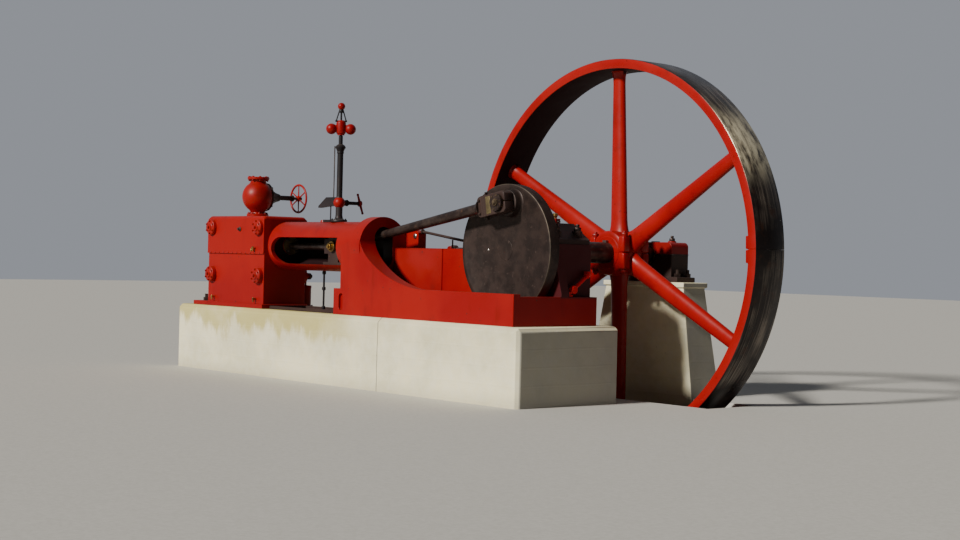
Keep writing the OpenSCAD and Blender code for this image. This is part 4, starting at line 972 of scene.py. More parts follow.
@dataclass
class Barrel:
    """The guide barrel with its side opening, its tray and its drain."""

    radius: float = 0.31
    opening: tuple[float, float] = (-3.83, -2.571)
    level: float = 2.471
    half: float = 0.168
    lip_width: float = 0.03
    boss_x: float = -3.27
    mouth_band_x: float = -2.204
    drain_x: float = -3.24
    drain_collars: tuple[float, ...] = (2.2, 2.0, 1.76)
    tray_low: tuple[float, float] = (-4.06, -0.27)
    tray_high: tuple[float, float] = (-2.56, 0.3)
    tray_wall: float = 0.012
    tray_height: float = 0.042

    def lip(self, form: Former) -> None:
        """Adds the raised lip round the side opening, bent to the barrel's curve."""
        bm, wide = form.bm, self.half + self.lip_width
        verts = bmesh.ops.create_circle(bm, cap_ends=True, radius=1.0, segments=40)["verts"]
        for v in verts:
            square = v.co.x > 0.01
            x = self.opening[1] + self.lip_width if square else self.opening[0] + wide * v.co.x
            up = max(-1.0, min(1.0, v.co.y * (1.0125 if square else 1.0)))
            v.co = (x, 0.0, self.level + wide * up)
        face = verts[0].link_faces[0]
        rim = bmesh.ops.inset_region(bm, faces=[face], thickness=self.lip_width,
                                     use_even_offset=True)["faces"]
        bmesh.ops.delete(bm, geom=[face], context="FACES_ONLY")
        raised = [g for g in bmesh.ops.extrude_face_region(bm, geom=rim)["geom"]
                  if isinstance(g, bmesh.types.BMVert)]
        bmesh.ops.translate(bm, verts=raised, vec=(0, -0.036, 0))
        low = {v for f in rim for v in f.verts}
        form.soften(raised, 0.007, 2)
        for v in low | {v for v in bm.verts if v.co.y < -0.02 and v.co.y > -0.04}:
            side = v.co.z - SHAFT
            v.co.y -= math.sqrt(self.radius ** 2 - side ** 2) - 0.028

    def casting(self) -> None:
        """Rounds the barrel and adds its lip, its boss and the band at its mouth."""
        form = Former()
        self.lip(form)
        crown = SHAFT + self.radius
        x, r = self.boss_x, self.radius
        form.bar((x, 0.0, crown - 0.01), (x, 0.0, crown + 0.022), 0.05, 0.042, 28, 0.004)
        form.turned([(r - 0.02, -0.03), (r + 0.016, -0.03), (r + 0.02, -0.024), (r + 0.02, 0.0),
                     (r - 0.02, 0.0)], (self.mouth_band_x, 0.0, SHAFT), CRANKWARD, 96, closed=True)
        Softened("guide_barrel", GUIDE_RED, width=0.007).build(form)

    def drain(self) -> None:
        """Builds the drain pipe under the barrel with its three collars."""
        pipe = Former()
        x = self.drain_x
        pipe.bar((x, 0.0, SHAFT - self.radius + 0.004), (x, 0.0, BLOCK_TOP + 0.012), 0.013,
                 sides=20)
        for z in self.drain_collars:
            pipe.turned(collar(0.024, 0.02, 0.002, 0.008), (x, 0.0, z), UP, 20)
        pipe.finish("barrel_drain", Body.FRAME, BLACK, "bed_frame")

    def tray(self) -> None:
        """Builds the tray on the block below the barrel."""
        tray = Former()
        (x0, y0), (x1, y1) = self.tray_low, self.tray_high
        w = self.tray_wall
        tray.block((x0, y0, BLOCK_TOP), (x1, y1, BLOCK_TOP + w / 2))
        for a, b in (((x0, y0), (x1, y0 + w)), ((x0, y1 - w), (x1, y1)),
                     ((x0, y0 + w), (x0 + w, y1 - w)), ((x1 - w, y0 + w), (x1, y1 - w))):
            tray.block((*a, BLOCK_TOP), (*b, BLOCK_TOP + self.tray_height), 0.003, 1)
        tray.finish("drip_tray", Body.FRAME, BROWN, "foundation_nuts")

    def build(self) -> None:
        """Builds the barrel, its drain and the tray under it."""
        self.casting()
        self.drain()
        self.tray()


@dataclass
class Cylinder:
    """The cylinder with its heads, its valve bonnets and its small fittings."""

    near: float = -0.342
    crank_end: float = -4.122
    back_end: float = -5.494
    seam: float = 2.427
    bonnet: float = 0.102
    depth: float = 0.046
    step: float = 0.014
    screws: int = 12
    screw_pitch: float = 0.1085
    plug: tuple[float, float] = (-4.692, 2.737)
    cock: tuple[float, float] = (-4.332, 2.478)
    drain_x: tuple[float, float] = (-4.3, -5.32)
    drain_z: float = 1.83

    def casting(self) -> None:
        """Rounds the casing and adds the strip that covers its seam, with its screws."""
        form = Former()
        s = self.seam
        form.block((self.back_end + 0.006, self.near - 0.004, s - 0.014),
                   (self.crank_end - 0.006, self.near + 0.02, s + 0.012), 0.004)
        form.block((self.back_end - 0.004, self.near + 0.004, s - 0.014),
                   (self.back_end + 0.02, CASING_FAR - 0.004, s + 0.012), 0.004)
        Softened("cylinder_casting", RED).build(form)
        screws = Former()
        for k in range(self.screws):
            x = self.back_end + 0.09 + k * self.screw_pitch
            screws.turned([(0.0, 0.0), (0.013, 0.0), (0.012, 0.006), (0.006, 0.0095),
                           (0.0, 0.0105)], (x, self.near - 0.003, s), NEAR, 16)
        screws.finish("seam_screws", Body.FRAME, SHADED_RED, "cylinder_casting")

    def bonnets(self) -> None:
        """Builds the four near bonnets with their nuts and spindle ends."""
        form, nuts, ends = Former(), Former(), Former()
        r = self.bonnet
        for x, z in BONNETS:
            back = self.step if z < self.seam else 0.0
            d = self.depth + back
            form.turned([(0.0, -0.004), (r, -0.004), (r, d - 0.012), (r - 0.004, d - 0.005),
                         (r - 0.012, d), (0.064, d), (0.056, d + 0.004), (0.05, d + 0.012),
                         (0.046, d + 0.018), (0.0, d + 0.018)], (x, self.near + back, z), NEAR, 56)
            face = self.near + back - d
            nuts.nut_circle((x, face, z), NEAR, 0.082, 6, 30.0, 0.021, 0.004)
            ends.turned([(0.0, 0.0), (0.019, 0.0), (0.019, 0.012), (0.015, 0.02), (0.0, 0.022)],
                        (x, face - 0.017, z), NEAR, 24)
        piece = form.finish("near_bonnets", Body.FRAME, RED, "near_valve_covers")
        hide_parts("near_valve_covers")
        nuts.finish("near_bonnet_nuts", Body.FRAME, SHADED_RED, "near_valve_covers")
        ends.finish("near_spindle_ends", Body.FRAME, SHADED_RED, "near_valve_covers")

    def back_head(self) -> None:
        """Builds the dished back head with its ring of studs."""
        form, nuts = Former(), Former()
        form.turned([(0.0, -0.03), (0.25, -0.03), (0.25, 0.05), (0.246, 0.057), (0.24, 0.06),
                     (0.19, 0.06), (0.182, 0.056), (0.176, 0.05), (0.16, 0.05), (0.152, 0.056),
                     (0.148, 0.066), (0.148, 0.08), (0.142, 0.088), (0.0, 0.088)],
                    (self.back_end, 0.0, SHAFT), BACKWARD, 72)
        nuts.nut_circle((self.back_end - 0.06, 0, SHAFT), BACKWARD, 0.215, 12, 15.0, 0.042, 0.012)
        piece = form.finish("back_head", Body.FRAME, RED, "cylinder_back_head")
        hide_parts("cylinder_back_head")
        nuts.finish("back_head_nuts", Body.FRAME, SHADED_RED, "cylinder_back_head")

    def fittings(self) -> None:
        """Adds the indicator plug, the brass cock and the drain cocks."""
        x, z = self.plug
        plug = Former()
        plug.turned([(0.0, -0.004), (0.03, -0.004), (0.03, 0.01), (0.024, 0.016), (0.017, 0.018),
                     (0.017, 0.034), (0.014, 0.038), (0.0, 0.038)], (x, self.near, z), NEAR, 24)
        plug.finish("indicator_plugs", Body.FRAME, BROWN, "cylinder_casting")
        cock = Former()
        y, (x, z) = self.near, self.cock
        cock.bar((x, y + 0.004, z), (x, y - 0.052, z), 0.012, sides=20, soft=0.002)
        cock.turned([(0.0, -0.026), (0.013, -0.026), (0.018, -0.018), (0.018, 0.018),
                     (0.012, 0.026), (0.0, 0.026)], (x, y - 0.03, z), UP, 24)
        cock.block((x - 0.004, y - 0.04, z + 0.024), (x + 0.03, y - 0.022, z + 0.034), 0.003)
        cock.bar((x, y - 0.05, z), (x, y - 0.052, z - 0.034), 0.008, sides=16, soft=0.001)
        z = self.drain_z
        for x in self.drain_x:
            cock.bar((x, y + 0.02, z), (x, y - 0.036, z), 0.014, sides=20, soft=0.002)
            cock.bar((x, y - 0.024, z + 0.02), (x, y - 0.024, z - 0.04), 0.01, sides=20, soft=0.002)
        cock.finish("brass_cocks", Body.FRAME, BRASS, "piston_rod_gland")

    def build(self) -> None:
        """Builds the cylinder's pieces."""
        self.casting()
        self.bonnets()
        self.back_head()
        self.fittings()


@dataclass
class Throttle:
    """The globe throttle valve on top of the cylinder."""

    x: float = -4.806
    z: float = 3.178
    foot: float = 2.911
    globe: float = 0.21
    flange: float = 0.145
    top: float = 3.439
    bore: float = 0.062
    seat: float = 0.11
    flange_r: float = 0.186
    bell: float = 0.152
    bell_tip: float = 0.05
    bell_end: float = 0.335
    gland_end: float = 0.56
    wheel_y: float = 0.65
    wheel: float = 0.2
    flange_depth: float = 0.034
    bolt_r: float = 0.122
    bolts: int = 8

    def body(self) -> None:
        """Builds the globe with its necks and flanges, cut flat where its bonnet seats."""
        form = Former()
        low, high = self.foot - self.z, self.top - self.z
        profile = ([(0.0, low), (self.flange - 0.005, low), (self.flange, low + 0.006),
                    (self.flange, low + 0.028), (self.flange - 0.006, low + 0.034),
                    (0.108, low + 0.034), (0.096, low + 0.04), (0.09, low + 0.056)]
                   + arc(self.globe, range(-56, 57, 8))
                   + [(0.1, high - 0.06), (0.104, high - 0.042), (0.112, high - 0.034),
                      (self.flange - 0.006, high - 0.034), (self.flange, high - 0.028),
                      (self.flange, high - 0.006), (self.flange - 0.005, high),
                      (self.bore + 0.03, high), (self.bore + 0.028, high - 0.003),
                      (self.bore + 0.004, high - 0.003), (self.bore, high - 0.006),
                      (self.bore, 0.07), (0.0, 0.07)])
        form.turned(profile, (self.x, 0.0, self.z), UP, 64)
        bmesh.ops.bisect_plane(form.bm, geom=form.bm.verts[:] + form.bm.edges[:] + form.bm.faces[:],
                               plane_co=(self.x, self.seat, self.z), plane_no=FAR)
        for v in form.bm.verts:
            if v.co.y > self.seat and abs(v.co.z - self.z) < self.flange_r:
                v.co.y = self.seat
        piece = form.finish("throttle_globe", Body.FRAME, RED, "throttle_body")
        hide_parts("throttle_body")

    def flange_nuts(self) -> None:
        """Adds the nuts of both flanges and the bolt heads on the top one."""
        form = Former()
        r, n = self.bolt_r, self.bolts
        form.nut_circle((self.x, 0, self.foot + self.flange_depth), UP, r, n, 22.5, 0.03, 0.01)
        form.nut_circle((self.x, 0, self.top - self.flange_depth), DOWN, r, n, 22.5, 0.028, 0.008)
        for place in bolt_circle((self.x, 0, self.top), UP, r, n, 22.5):
            form.turned([(0.0, -0.002), (0.017, -0.002), (0.016, 0.008), (0.01, 0.012),
                         (0.0, 0.012)], place, UP, 12)
        form.finish("throttle_flange_nuts", Body.FRAME, SHADED_RED, "throttle_body")

    def bonnet(self) -> None:
        """Builds the hollow-sided bell of the bonnet with its bolted flange and its gland."""
        form = Former()
        y0, f, neck = self.seat, self.flange_r, 0.032
        bell = [(self.bell_tip + (self.bell - self.bell_tip) * (1 - k / 10) ** 1.7,
                 0.026 + (self.bell_end - y0 - 0.026) * k / 10) for k in range(1, 10)]
        end, gland = self.bell_end - y0, self.gland_end - y0
        form.turned([(0.0185, 0.0), (f - 0.003, 0.0), (f, 0.004), (f, 0.021), (f - 0.004, 0.026),
                     (self.bell + 0.008, 0.026), (self.bell, 0.031)] + bell
                    + [(self.bell_tip, end - 0.012), (self.bell_tip - 0.004, end - 0.002),
                       (neck + 0.002, end), (neck, end + 0.004), (neck, gland - 0.032),
                       (neck + 0.009, gland - 0.03), (neck + 0.01, gland - 0.004),
                       (neck + 0.006, gland), (0.0185, gland)],
                    (self.x, y0, self.z), FAR, 72, closed=True)
        form.nut_circle((self.x, y0 + 0.026, self.z), FAR, f - 0.016, 12, 15.0, 0.022, 0.006)
        piece = form.finish("throttle_bell_bonnet", Body.FRAME, BROWN, "throttle_bonnet")
        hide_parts("throttle_bonnet")

    def handwheel(self) -> None:
        """Builds the handwheel: an oval rim, six tapering spokes and a hub."""
        form = Former()
        centre = (self.x, self.wheel_y, self.z)
        form.turned(arc(0.0145, range(0, 360, 30), self.wheel - 0.0145, 0.0125), centre, FAR, 72,
                    closed=True)
        form.turned(collar(0.037, 0.026, 0.003, 0.004, 0.018), centre, FAR, 32, closed=True)
        for k in range(6):
            turn = Matrix.Translation(centre) @ Matrix.Rotation(math.radians(60 * k), 4, "Y")
            form.lofted([(0.03, 0.013, 0.009), (0.06, 0.0105, 0.008), (0.15, 0.008, 0.0065),
                         (self.wheel - 0.022, 0.011, 0.008)], turn, 16)
        piece = form.finish("throttle_hand_wheel", Body.HANDWHEEL, RED, "throttle_handwheel")
        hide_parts("throttle_handwheel")
        nut = Former()
        nut.nut((self.x, self.wheel_y + 0.024, self.z), FAR, 0.04)
        nut.finish("handwheel_nut", Body.HANDWHEEL, STEEL, "throttle_stem")

    def build(self) -> None:
        """Builds the valve."""
        self.body()
        self.flange_nuts()
        self.bonnet()
        self.handwheel()


@dataclass
class Governor:
    """The fly-ball governor on its column above the barrel."""

    x: float = -2.952
    foot: float = 2.817
    cross: float = 3.081
    column_top: float = 3.916
    ball_level: float = 3.999
    top: float = 4.282
    ball: float = 0.068
    reach: float = 0.118
    lever_y: float = 0.32
    side_rod: float = -0.108
    side_rod_top: float = 3.79
    lean: tuple[float, float] = (0.6, 0.8)

    def column(self) -> None:
        """Builds the turned column with its mouldings, its bracket boss and its side rod."""
        form = Former()
        z0, end = self.foot, self.column_top - self.foot
        mid = self.cross - z0
        form.turned([(0.0125, 0.02), (0.1, 0.02), (0.105, 0.026), (0.105, 0.042), (0.1, 0.05),
                     (0.066, 0.054), (0.052, 0.066), (0.046, 0.085), (0.043, 0.11),
                     (0.043, mid - 0.05), (0.06, mid - 0.034), (0.068, mid), (0.06, mid + 0.034),
                     (0.04, mid + 0.06), (0.037, mid + 0.08), (0.037, end - 0.225),
                     (0.042, end - 0.22), (0.044, end - 0.21), (0.04, end - 0.2),
                     (0.052, end - 0.17), (0.064, end - 0.152), (0.065, end - 0.14),
                     (0.05, end - 0.12), (0.037, end - 0.11), (0.026, end - 0.106), (0.026, end),
                     (0.0125, end)], (self.x, 0.0, z0), UP, 48, closed=True)
        form.turned([(0.0225, 0.02), (0.036, 0.02), (0.036, 0.11), (0.04, 0.112), (0.04, 0.12),
                     (0.0225, 0.12)], (self.x, 0.0, self.cross), FAR, 32, closed=True)
        form.nut_circle((self.x, 0, z0 + 0.05), UP, 0.083, 6, 0.0, 0.02, 0.006)
        piece = form.finish("governor_stand", Body.FRAME, BLACK, "governor_column")
        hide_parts("governor_column")
        rod = Former()
        x, z = self.x + self.side_rod, self.side_rod_top
        rod.bar((x, -0.01, self.cross + 0.06), (x, -0.01, z), 0.007, sides=14)
        rod.bar((x, -0.01, z - 0.014), (self.x - 0.03, -0.005, z - 0.014), 0.008, sides=14)
        rod.finish("governor_side_rod", Body.FRAME, STEEL, "valve_rods")

    def head(self) -> None:
        """Builds the red weights and hub, and the dark arms and links between them."""
        red, dark = Former(), Former()
        x, zb = self.x, self.ball_level
        red.turned([(0.012, -0.06), (0.05, -0.06), (0.057, -0.054), (0.06, -0.04),
                    (0.06, 0.07), (0.057, 0.084), (0.046, 0.094), (0.04, 0.098), (0.036, 0.108),
                    (0.012, 0.11)], (x, 0, zb), UP, 48, closed=True)
        red.turned([(0.012, 0.006), (0.042, 0.006), (0.045, 0.01), (0.045, 0.026), (0.042, 0.03),
                    (0.012, 0.03)], (x, 0, self.column_top), UP, 36, closed=True)
        red.turned([(0.0, -0.05), (0.016, -0.048), (0.02, -0.042)]
                   + arc(0.046, range(-60, 90, 10)) + [(0.0, 0.046)], (x, 0, self.top), UP, 36)
        dark.bar((x, 0, self.column_top - 0.15), (x, 0, self.top - 0.03), 0.0118, sides=20)
        dark.turned(collar(0.028, 0.02, 0.004, 0.006, 0.0122), (x, 0, self.top - 0.06), UP, 24,
                    closed=True)
        for s in (-1, 1):
            out = s * Vector((*self.lean, 0.0))
            centre = Vector((x, 0, zb)) + self.reach * out
            red.turned([(0.0, -self.ball)] + arc(self.ball, range(-80, 90, 10))
                       + [(0.0, self.ball)], centre, UP, 32)
            fork = Matrix.Translation((x, 0, zb)) @ Matrix.Rotation(math.atan2(out.y, out.x), 4, "Z")
            red.block((0.03, -0.03, -0.036), (0.094, 0.03, 0.05), 0.008, 2, fork)
            foot = Vector((x, 0, zb + 0.1)) + 0.062 * out
            hang = Vector((x, 0, self.top - 0.036)) + 0.018 * out
            dark.bar(hang, foot, 0.0078, sides=14)
            dark.ball(foot, 0.013, 16)
            across = Vector((-out.y, out.x, 0.0))
            dark.bar(foot - 0.022 * across, foot + 0.022 * across, 0.008, sides=12)
            dark.bar(Vector((x, 0, zb + 0.092)) + 0.03 * out, foot, 0.012, sides=14)
        piece = red.finish("governor_weights", Body.BALLS, RED, "governor_head")
        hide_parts("governor_head")
        dark.finish("governor_links", Body.BALLS, BLACK, "governor_column")

    def lever(self) -> None:
        """Builds the dark cross shaft, the red lever on its end and the red boss it leaves."""
        shaft, lever = Former(), Former()
        x, z, y = self.x, self.cross, self.lever_y
        shaft.bar((x, 0.03, z), (x, y + 0.012, z), 0.0218, sides=28, soft=0.002)
        shaft.turned([(0.0, 0.0), (0.03, 0.0), (0.03, 0.012), (0.02, 0.018), (0.0, 0.018)],
                     (x, 0.124, z), FAR, 24)
        lever.turned([(0.0, -0.02), (0.034, -0.02), (0.038, -0.015), (0.038, 0.01),
                      (0.034, 0.014), (0.0, 0.014)], (x, y, z), FAR, 36)
        ends = ((x, y - 0.036, z + 0.11), (x, y + 0.043, z - 0.12))
        for end in ends:
            lever.bar((x, y, z), end, 0.018, 0.0115, 20)
        for end in ends:
            lever.ball(end, 0.016, 20)
        piece = lever.finish("governor_hand_lever", Body.LEVER, RED, "governor_lever")
        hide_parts("governor_lever")
        shaft.finish("governor_cross_shaft", Body.LEVER, BLACK, "governor_column")
        boss = Former()
        boss.turned([(0.038, -0.062), (0.054, -0.05), (0.068, -0.026), (0.0735, 0.0),
                     (0.068, 0.026), (0.054, 0.05), (0.038, 0.062)], (x, 0, z), UP, 40,
                    closed=True)
        boss.finish("governor_red_boss", Body.FRAME, RED, "governor_lever")

    def build(self) -> None:
        """Builds the governor."""
        self.column()
        Softened("governor_hood", BLACK, width=0.005).build()
        self.head()
        self.lever()


@dataclass
class Crank:
    """The crank disc with the cap of its pin and the oiler on it."""

    radius: float = 0.739
    near: float = 0.168
    far: float = 0.308
    boss: float = 0.145
    pin_near: float = -0.075
    boss_near: float = 0.077
    oiler_near: float = -0.097
    plug: tuple[float, float] = (-0.289, -0.004)

    def disc(self) -> None:
        """Builds the turned disc with the boss of its pin."""
        form = Former()
        r, t = self.radius, self.far - self.near
        form.turned([(0.118, 0.0015), (r - 0.05, 0.0015), (r - 0.046, 0.0), (r - 0.006, 0.0),
                     (r - 0.0015, 0.0015), (r, 0.006), (r, t - 0.006), (r - 0.006, t), (0.118, t)],
                    (0, self.near, SHAFT), FAR, 160, closed=True)
        px, _, pz = PIN
        form.turned([(0.063, 0.0), (self.boss - 0.008, 0.0), (self.boss - 0.002, 0.003),
                     (self.boss, 0.01), (self.boss, 0.07), (self.boss + 0.01, 0.086),
                     (self.boss + 0.022, 0.093), (0.063, 0.093)], (px, self.boss_near, pz), FAR, 64,
                    closed=True)
        piece = form.finish("turned_crank_disc", Body.CRANK, DISC, "crank_disc")
        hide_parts("crank_disc")

    def face(self) -> None:
        """Builds a lighter band on the disc's front rim, the end of the shaft and the plug beside it.
        """
        r = self.radius
        band = Former()
        band.turned([(r - 0.008, 0.0), (r + 0.0002, 0.003), (r + 0.0004, 0.02), (r - 0.004, 0.02)],
                    (0, self.near - 0.0012, SHAFT), FAR, 160, closed=True)
        band.finish("disc_rim_edge", Body.CRANK, EDGE, "crank_disc")
        shaft = Former()
        shaft.turned([(0.0, 0.0), (0.117, 0.0), (0.121, 0.003), (0.1215, 0.03), (0.0, 0.03)],
                     (0, self.near - 0.0015, SHAFT), FAR, 72)
        shaft.finish("shaft_end_face", Body.CRANK, DISC, "crankshaft")
        plug, (x, rise) = Former(), self.plug
        plug.turned([(0.0, 0.0), (0.013, 0.0), (0.013, 0.003), (0.009, 0.006), (0.0, 0.007)],
                    (x, self.near + 0.004, SHAFT + rise), NEAR, 20)
        plug.finish("disc_centre_plug", Body.CRANK, BRIGHT, "crank_pin")

    def pin(self) -> None:
        """Builds the cap of the pin with its screws, and the oiler on it."""
        px, _, pz = PIN
        form = Former()
        y = self.pin_near
        form.turned([(0.0, 0.0), (0.078, 0.0), (0.091, 0.002), (0.095, 0.007), (0.095, 0.02),
                     (0.09, 0.0255), (0.07, 0.026), (0.066, 0.022), (0.05, 0.02), (0.0, 0.02)],
                    (px, y, pz), NEAR, 64)
        for place in bolt_circle((px, y - 0.026, pz), NEAR, 0.08, 6, 15.0):
            form.turned([(0.0, -0.002), (0.0085, -0.002), (0.0085, 0.006), (0.006, 0.009),
                         (0.0, 0.009)], place, NEAR, 12)
        form.finish("pin_cap", Body.CRANK, OLIVE, "crank_pin")
        cup = Former()
        cup.turned([(0.0, 0.0), (0.042, 0.0), (0.042, 0.012), (0.038, 0.018), (0.03, 0.018),
                    (0.026, 0.028), (0.017, 0.038), (0.0, 0.042)], (px, self.oiler_near, pz), NEAR,
                   40)
        piece = cup.finish("crank_pin_oiler", Body.CRANK, OLIVE, "crank_oiler")
        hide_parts("crank_oiler")

    def build(self) -> None:
        """Builds the crank."""
        self.disc()
        self.face()
        self.pin()


@dataclass
class Rod:
    """The connecting rod, built along local +X from the crank pin to the wrist pin."""

    length: float = 3.06
    slope: float = 9.790969
    big: tuple[float, float, float] = (-0.12, 0.335, 0.118)
    half_width: float = 0.065
    big_r: float = 0.062
    mid_r: float = 0.055
    small_r: float = 0.045
    eye: float = 0.1
    eye_half: float = 0.055
    bore: float = 0.08875
    small_bore: float = 0.0545
    gib_x: tuple[float, float] = (0.232, 0.266)
    liner_x: tuple[float, float] = (0.118, 0.196)

    def _place(self, form: Former) -> None:
        """Lays what was gathered along the rod's rest position."""
        stand = Matrix.Translation(PIN) @ Matrix.Rotation(math.radians(180.0 - self.slope), 4, "Y")
        bmesh.ops.transform(form.bm, matrix=stand, verts=form.bm.verts)

    def shank(self) -> None:
        """Builds the tapered shank with its necks, and the eye of its small end."""
        form = Former()
        x0, x1 = self.big[1], self.length - self.eye + 0.01
        mid = (x0 + x1) / 2
        form.turned([(0.0, x0 - 0.01), (0.1, x0 - 0.01), (0.096, x0 + 0.012), (0.08, x0 + 0.032),
                     (0.068, x0 + 0.06), (self.big_r, x0 + 0.1), (self.big_r * 0.985, x0 + 0.3),
                     (self.mid_r + 0.001, mid - 0.2), (self.mid_r, mid),
                     (self.small_r + 0.001, x1 - 0.14), (self.small_r + 0.006, x1 - 0.06),
                     (0.052, x1 + 0.02), (0.0, x1 + 0.02)], ORIGIN, CRANKWARD, 48)
        form.turned(collar(self.eye, self.eye_half, 0.006, 0.006, self.small_bore),
                    (self.length, 0, 0), FAR, 56, closed=True)
        self._place(form)
        form.finish("rod_shank", Body.ROD, OXIDE, "connecting_rod")

    def big_end(self) -> None:
        """Builds the strapped big end round the crank pin, its gib, its cotter and its liner."""
        form = Former()
        x0, x1, h = self.big
        w, b = self.half_width, self.bore
        form.slab(self._strap(x0, x1, h, b), -w, w, 0.006, 2)
        self._place(form)
        piece = form.finish("rod_big_end", Body.ROD, BROWN, "connecting_rod")
        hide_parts("connecting_rod")
        trim = Former()
        for x in self.gib_x:
            trim.block((x - 0.014, -w - 0.002, -h - 0.002), (x + 0.014, w + 0.002, h + 0.002),
                       0.003, 1)
        trim.block((0.242, -0.02, -h - 0.045), (0.256, 0.02, h + 0.03), 0.003, 1)
        for z in (-0.075, 0.075):
            trim.nut((x1 - 0.03, -w, z), NEAR, 0.03, 0.006)
        self._place(trim)
        trim.finish("gib_and_cotter", Body.ROD, BROWN, "connecting_rod")
        liner, (near, far) = Former(), self.liner_x
        liner.block((near, -w - 0.004, -h + 0.02), (far, w + 0.004, h - 0.02), 0.004, 2)
        self._place(liner)
        liner.finish("big_end_liner", Body.ROD, BRONZE, "big_end_brasses")

    @staticmethod
    def _strap(x0: float, x1: float, h: float, bore: float) -> Outline:
        """Returns the outline of the big end, with its bore cut in from the far end.

        Args:
            x0: Crank end.
            x1: Shank end.
            h: Half height.
            bore: Radius of the seat of the brasses.

        Returns:
            Points in local x and z.
        """
        c = 0.03
        return ([(x0, 0.003), (x0, h - c), (x0 + c, h), (x1 - c, h), (x1, h - c * 0.6),
                 (x1, -h + c * 0.6), (x1 - c, -h), (x0 + c, -h), (x0, -h + c), (x0, -0.003)]
                + arc(bore, range(178, -179, -12))[::-1])

    def build(self) -> None:
        """Builds the rod."""
        self.shank()
        self.big_end()


@dataclass
class Crosshead:
    """The crosshead with its nuts, and the nuts of the gland that its rod slides in."""

    pin_near: float = -0.15
    gland_face: float = -3.978

    def build(self) -> None:
        """Rounds the crosshead with its end nuts and adds the nuts of its pin and of the gland."""
        form = Former()
        for z in (SHAFT - 0.06, SHAFT + 0.06):
            form.nut((WRIST_X - 0.22, 0.0, z), BACKWARD, 0.035, 0.01)
        Softened("crosshead", BROWN, Body.CROSSHEAD, 0.006).build(form)
        nut = Former()
        nut.nut((WRIST_X, self.pin_near, SHAFT), NEAR, 0.075, 0.018)
        nut.finish("wrist_pin_nut", Body.CROSSHEAD, BRASS, "wrist_pin")
        gland = Former()
        gland.nut_circle((self.gland_face, 0, SHAFT), CRANKWARD, 0.1, 4, 45.0, 0.03, 0.03)
        gland.finish("gland_nuts", Body.FRAME, STEEL, "piston_rod")


@dataclass
class Outboard:
    """The outboard bearing on the pier."""

    middle: float = 2.608
    top: float = 2.677
    stud_x: float = 0.27
    shim_x: tuple[float, float] = (0.24, 0.409)
    shim_half: float = 0.152

    def build(self) -> None:
        """Builds the pedestal and its cap, with its nuts and the shims between them."""
        Softened("outboard_bearing_base", BROWN, width=0.01).build()
        form, nuts = Former(), Former()
        y, top = self.middle, self.top
        for x in (-self.stud_x, self.stud_x):
            form.bar((x, y, top - 0.03), (x, y, top + 0.016), 0.055, 0.05, 32, 0.005)
            nuts.nut((x, y, top + 0.016), UP, 0.062, 0.03)
        form.bar((0, y, top - 0.02), (0, y, top + 0.012), 0.06, 0.052, 32, 0.004)
        # The cap's darker red is painted shade.
        Softened("outboard_bearing_cap", SHADED_RED, width=0.012, steps=3).build(form)
        nuts.finish("outboard_cap_nuts", Body.FRAME, OXIDE, "foundation_nuts")
        joint = Former()
        for side in (-1, 1):
            x0, x1 = sorted(side * x for x in self.shim_x)
            joint.block((x0, y - self.shim_half, SHAFT - 0.004),
                        (x1, y + self.shim_half, SHAFT + 0.004), 0.001, 1)
        joint.finish("outboard_shims", Body.FRAME, STEEL, "valve_rods")


@dataclass
class Eccentric:
    """The eccentric strap and its rod's fittings."""

    centre: Point = (-0.09, 1.01, SHAFT)
    lug: float = 0.342
    foot_x: float = -0.492
    cup: float = 0.378

    def build(self) -> None:
        """Rounds the strap and adds its clamp nuts, the union of its rod and its oil cup."""
        form = Former()
        x, y, z = self.centre
        Softened("eccentric_strap", SHADED_RED, Body.STRAP, 0.006).build()
        for m in (-1, 1):
            for s in (-1, 1):
                form.nut((x + s * 0.05, y, z + m * self.lug), (s, 0, 0), 0.034, 0.012)
        form.turned([(0.0, 0.0), (0.05, 0.0), (0.05, 0.02), (0.036, 0.026), (0.036, 0.07),
                     (0.028, 0.076), (0.0, 0.076)], (self.foot_x, y, z), BACKWARD, 32)
        form.finish("strap_bolts", Body.STRAP, STEEL, "eccentric_rod")
        cup = Former()
        cup.turned([(0.0, -0.004), (0.02, -0.004), (0.02, 0.02), (0.03, 0.03), (0.03, 0.06),
                    (0.0, 0.066)], (x, y, z + self.cup), UP, 24)
        cup.finish("strap_oil_cup", Body.STRAP, BRASS, "piston_rod_gland")


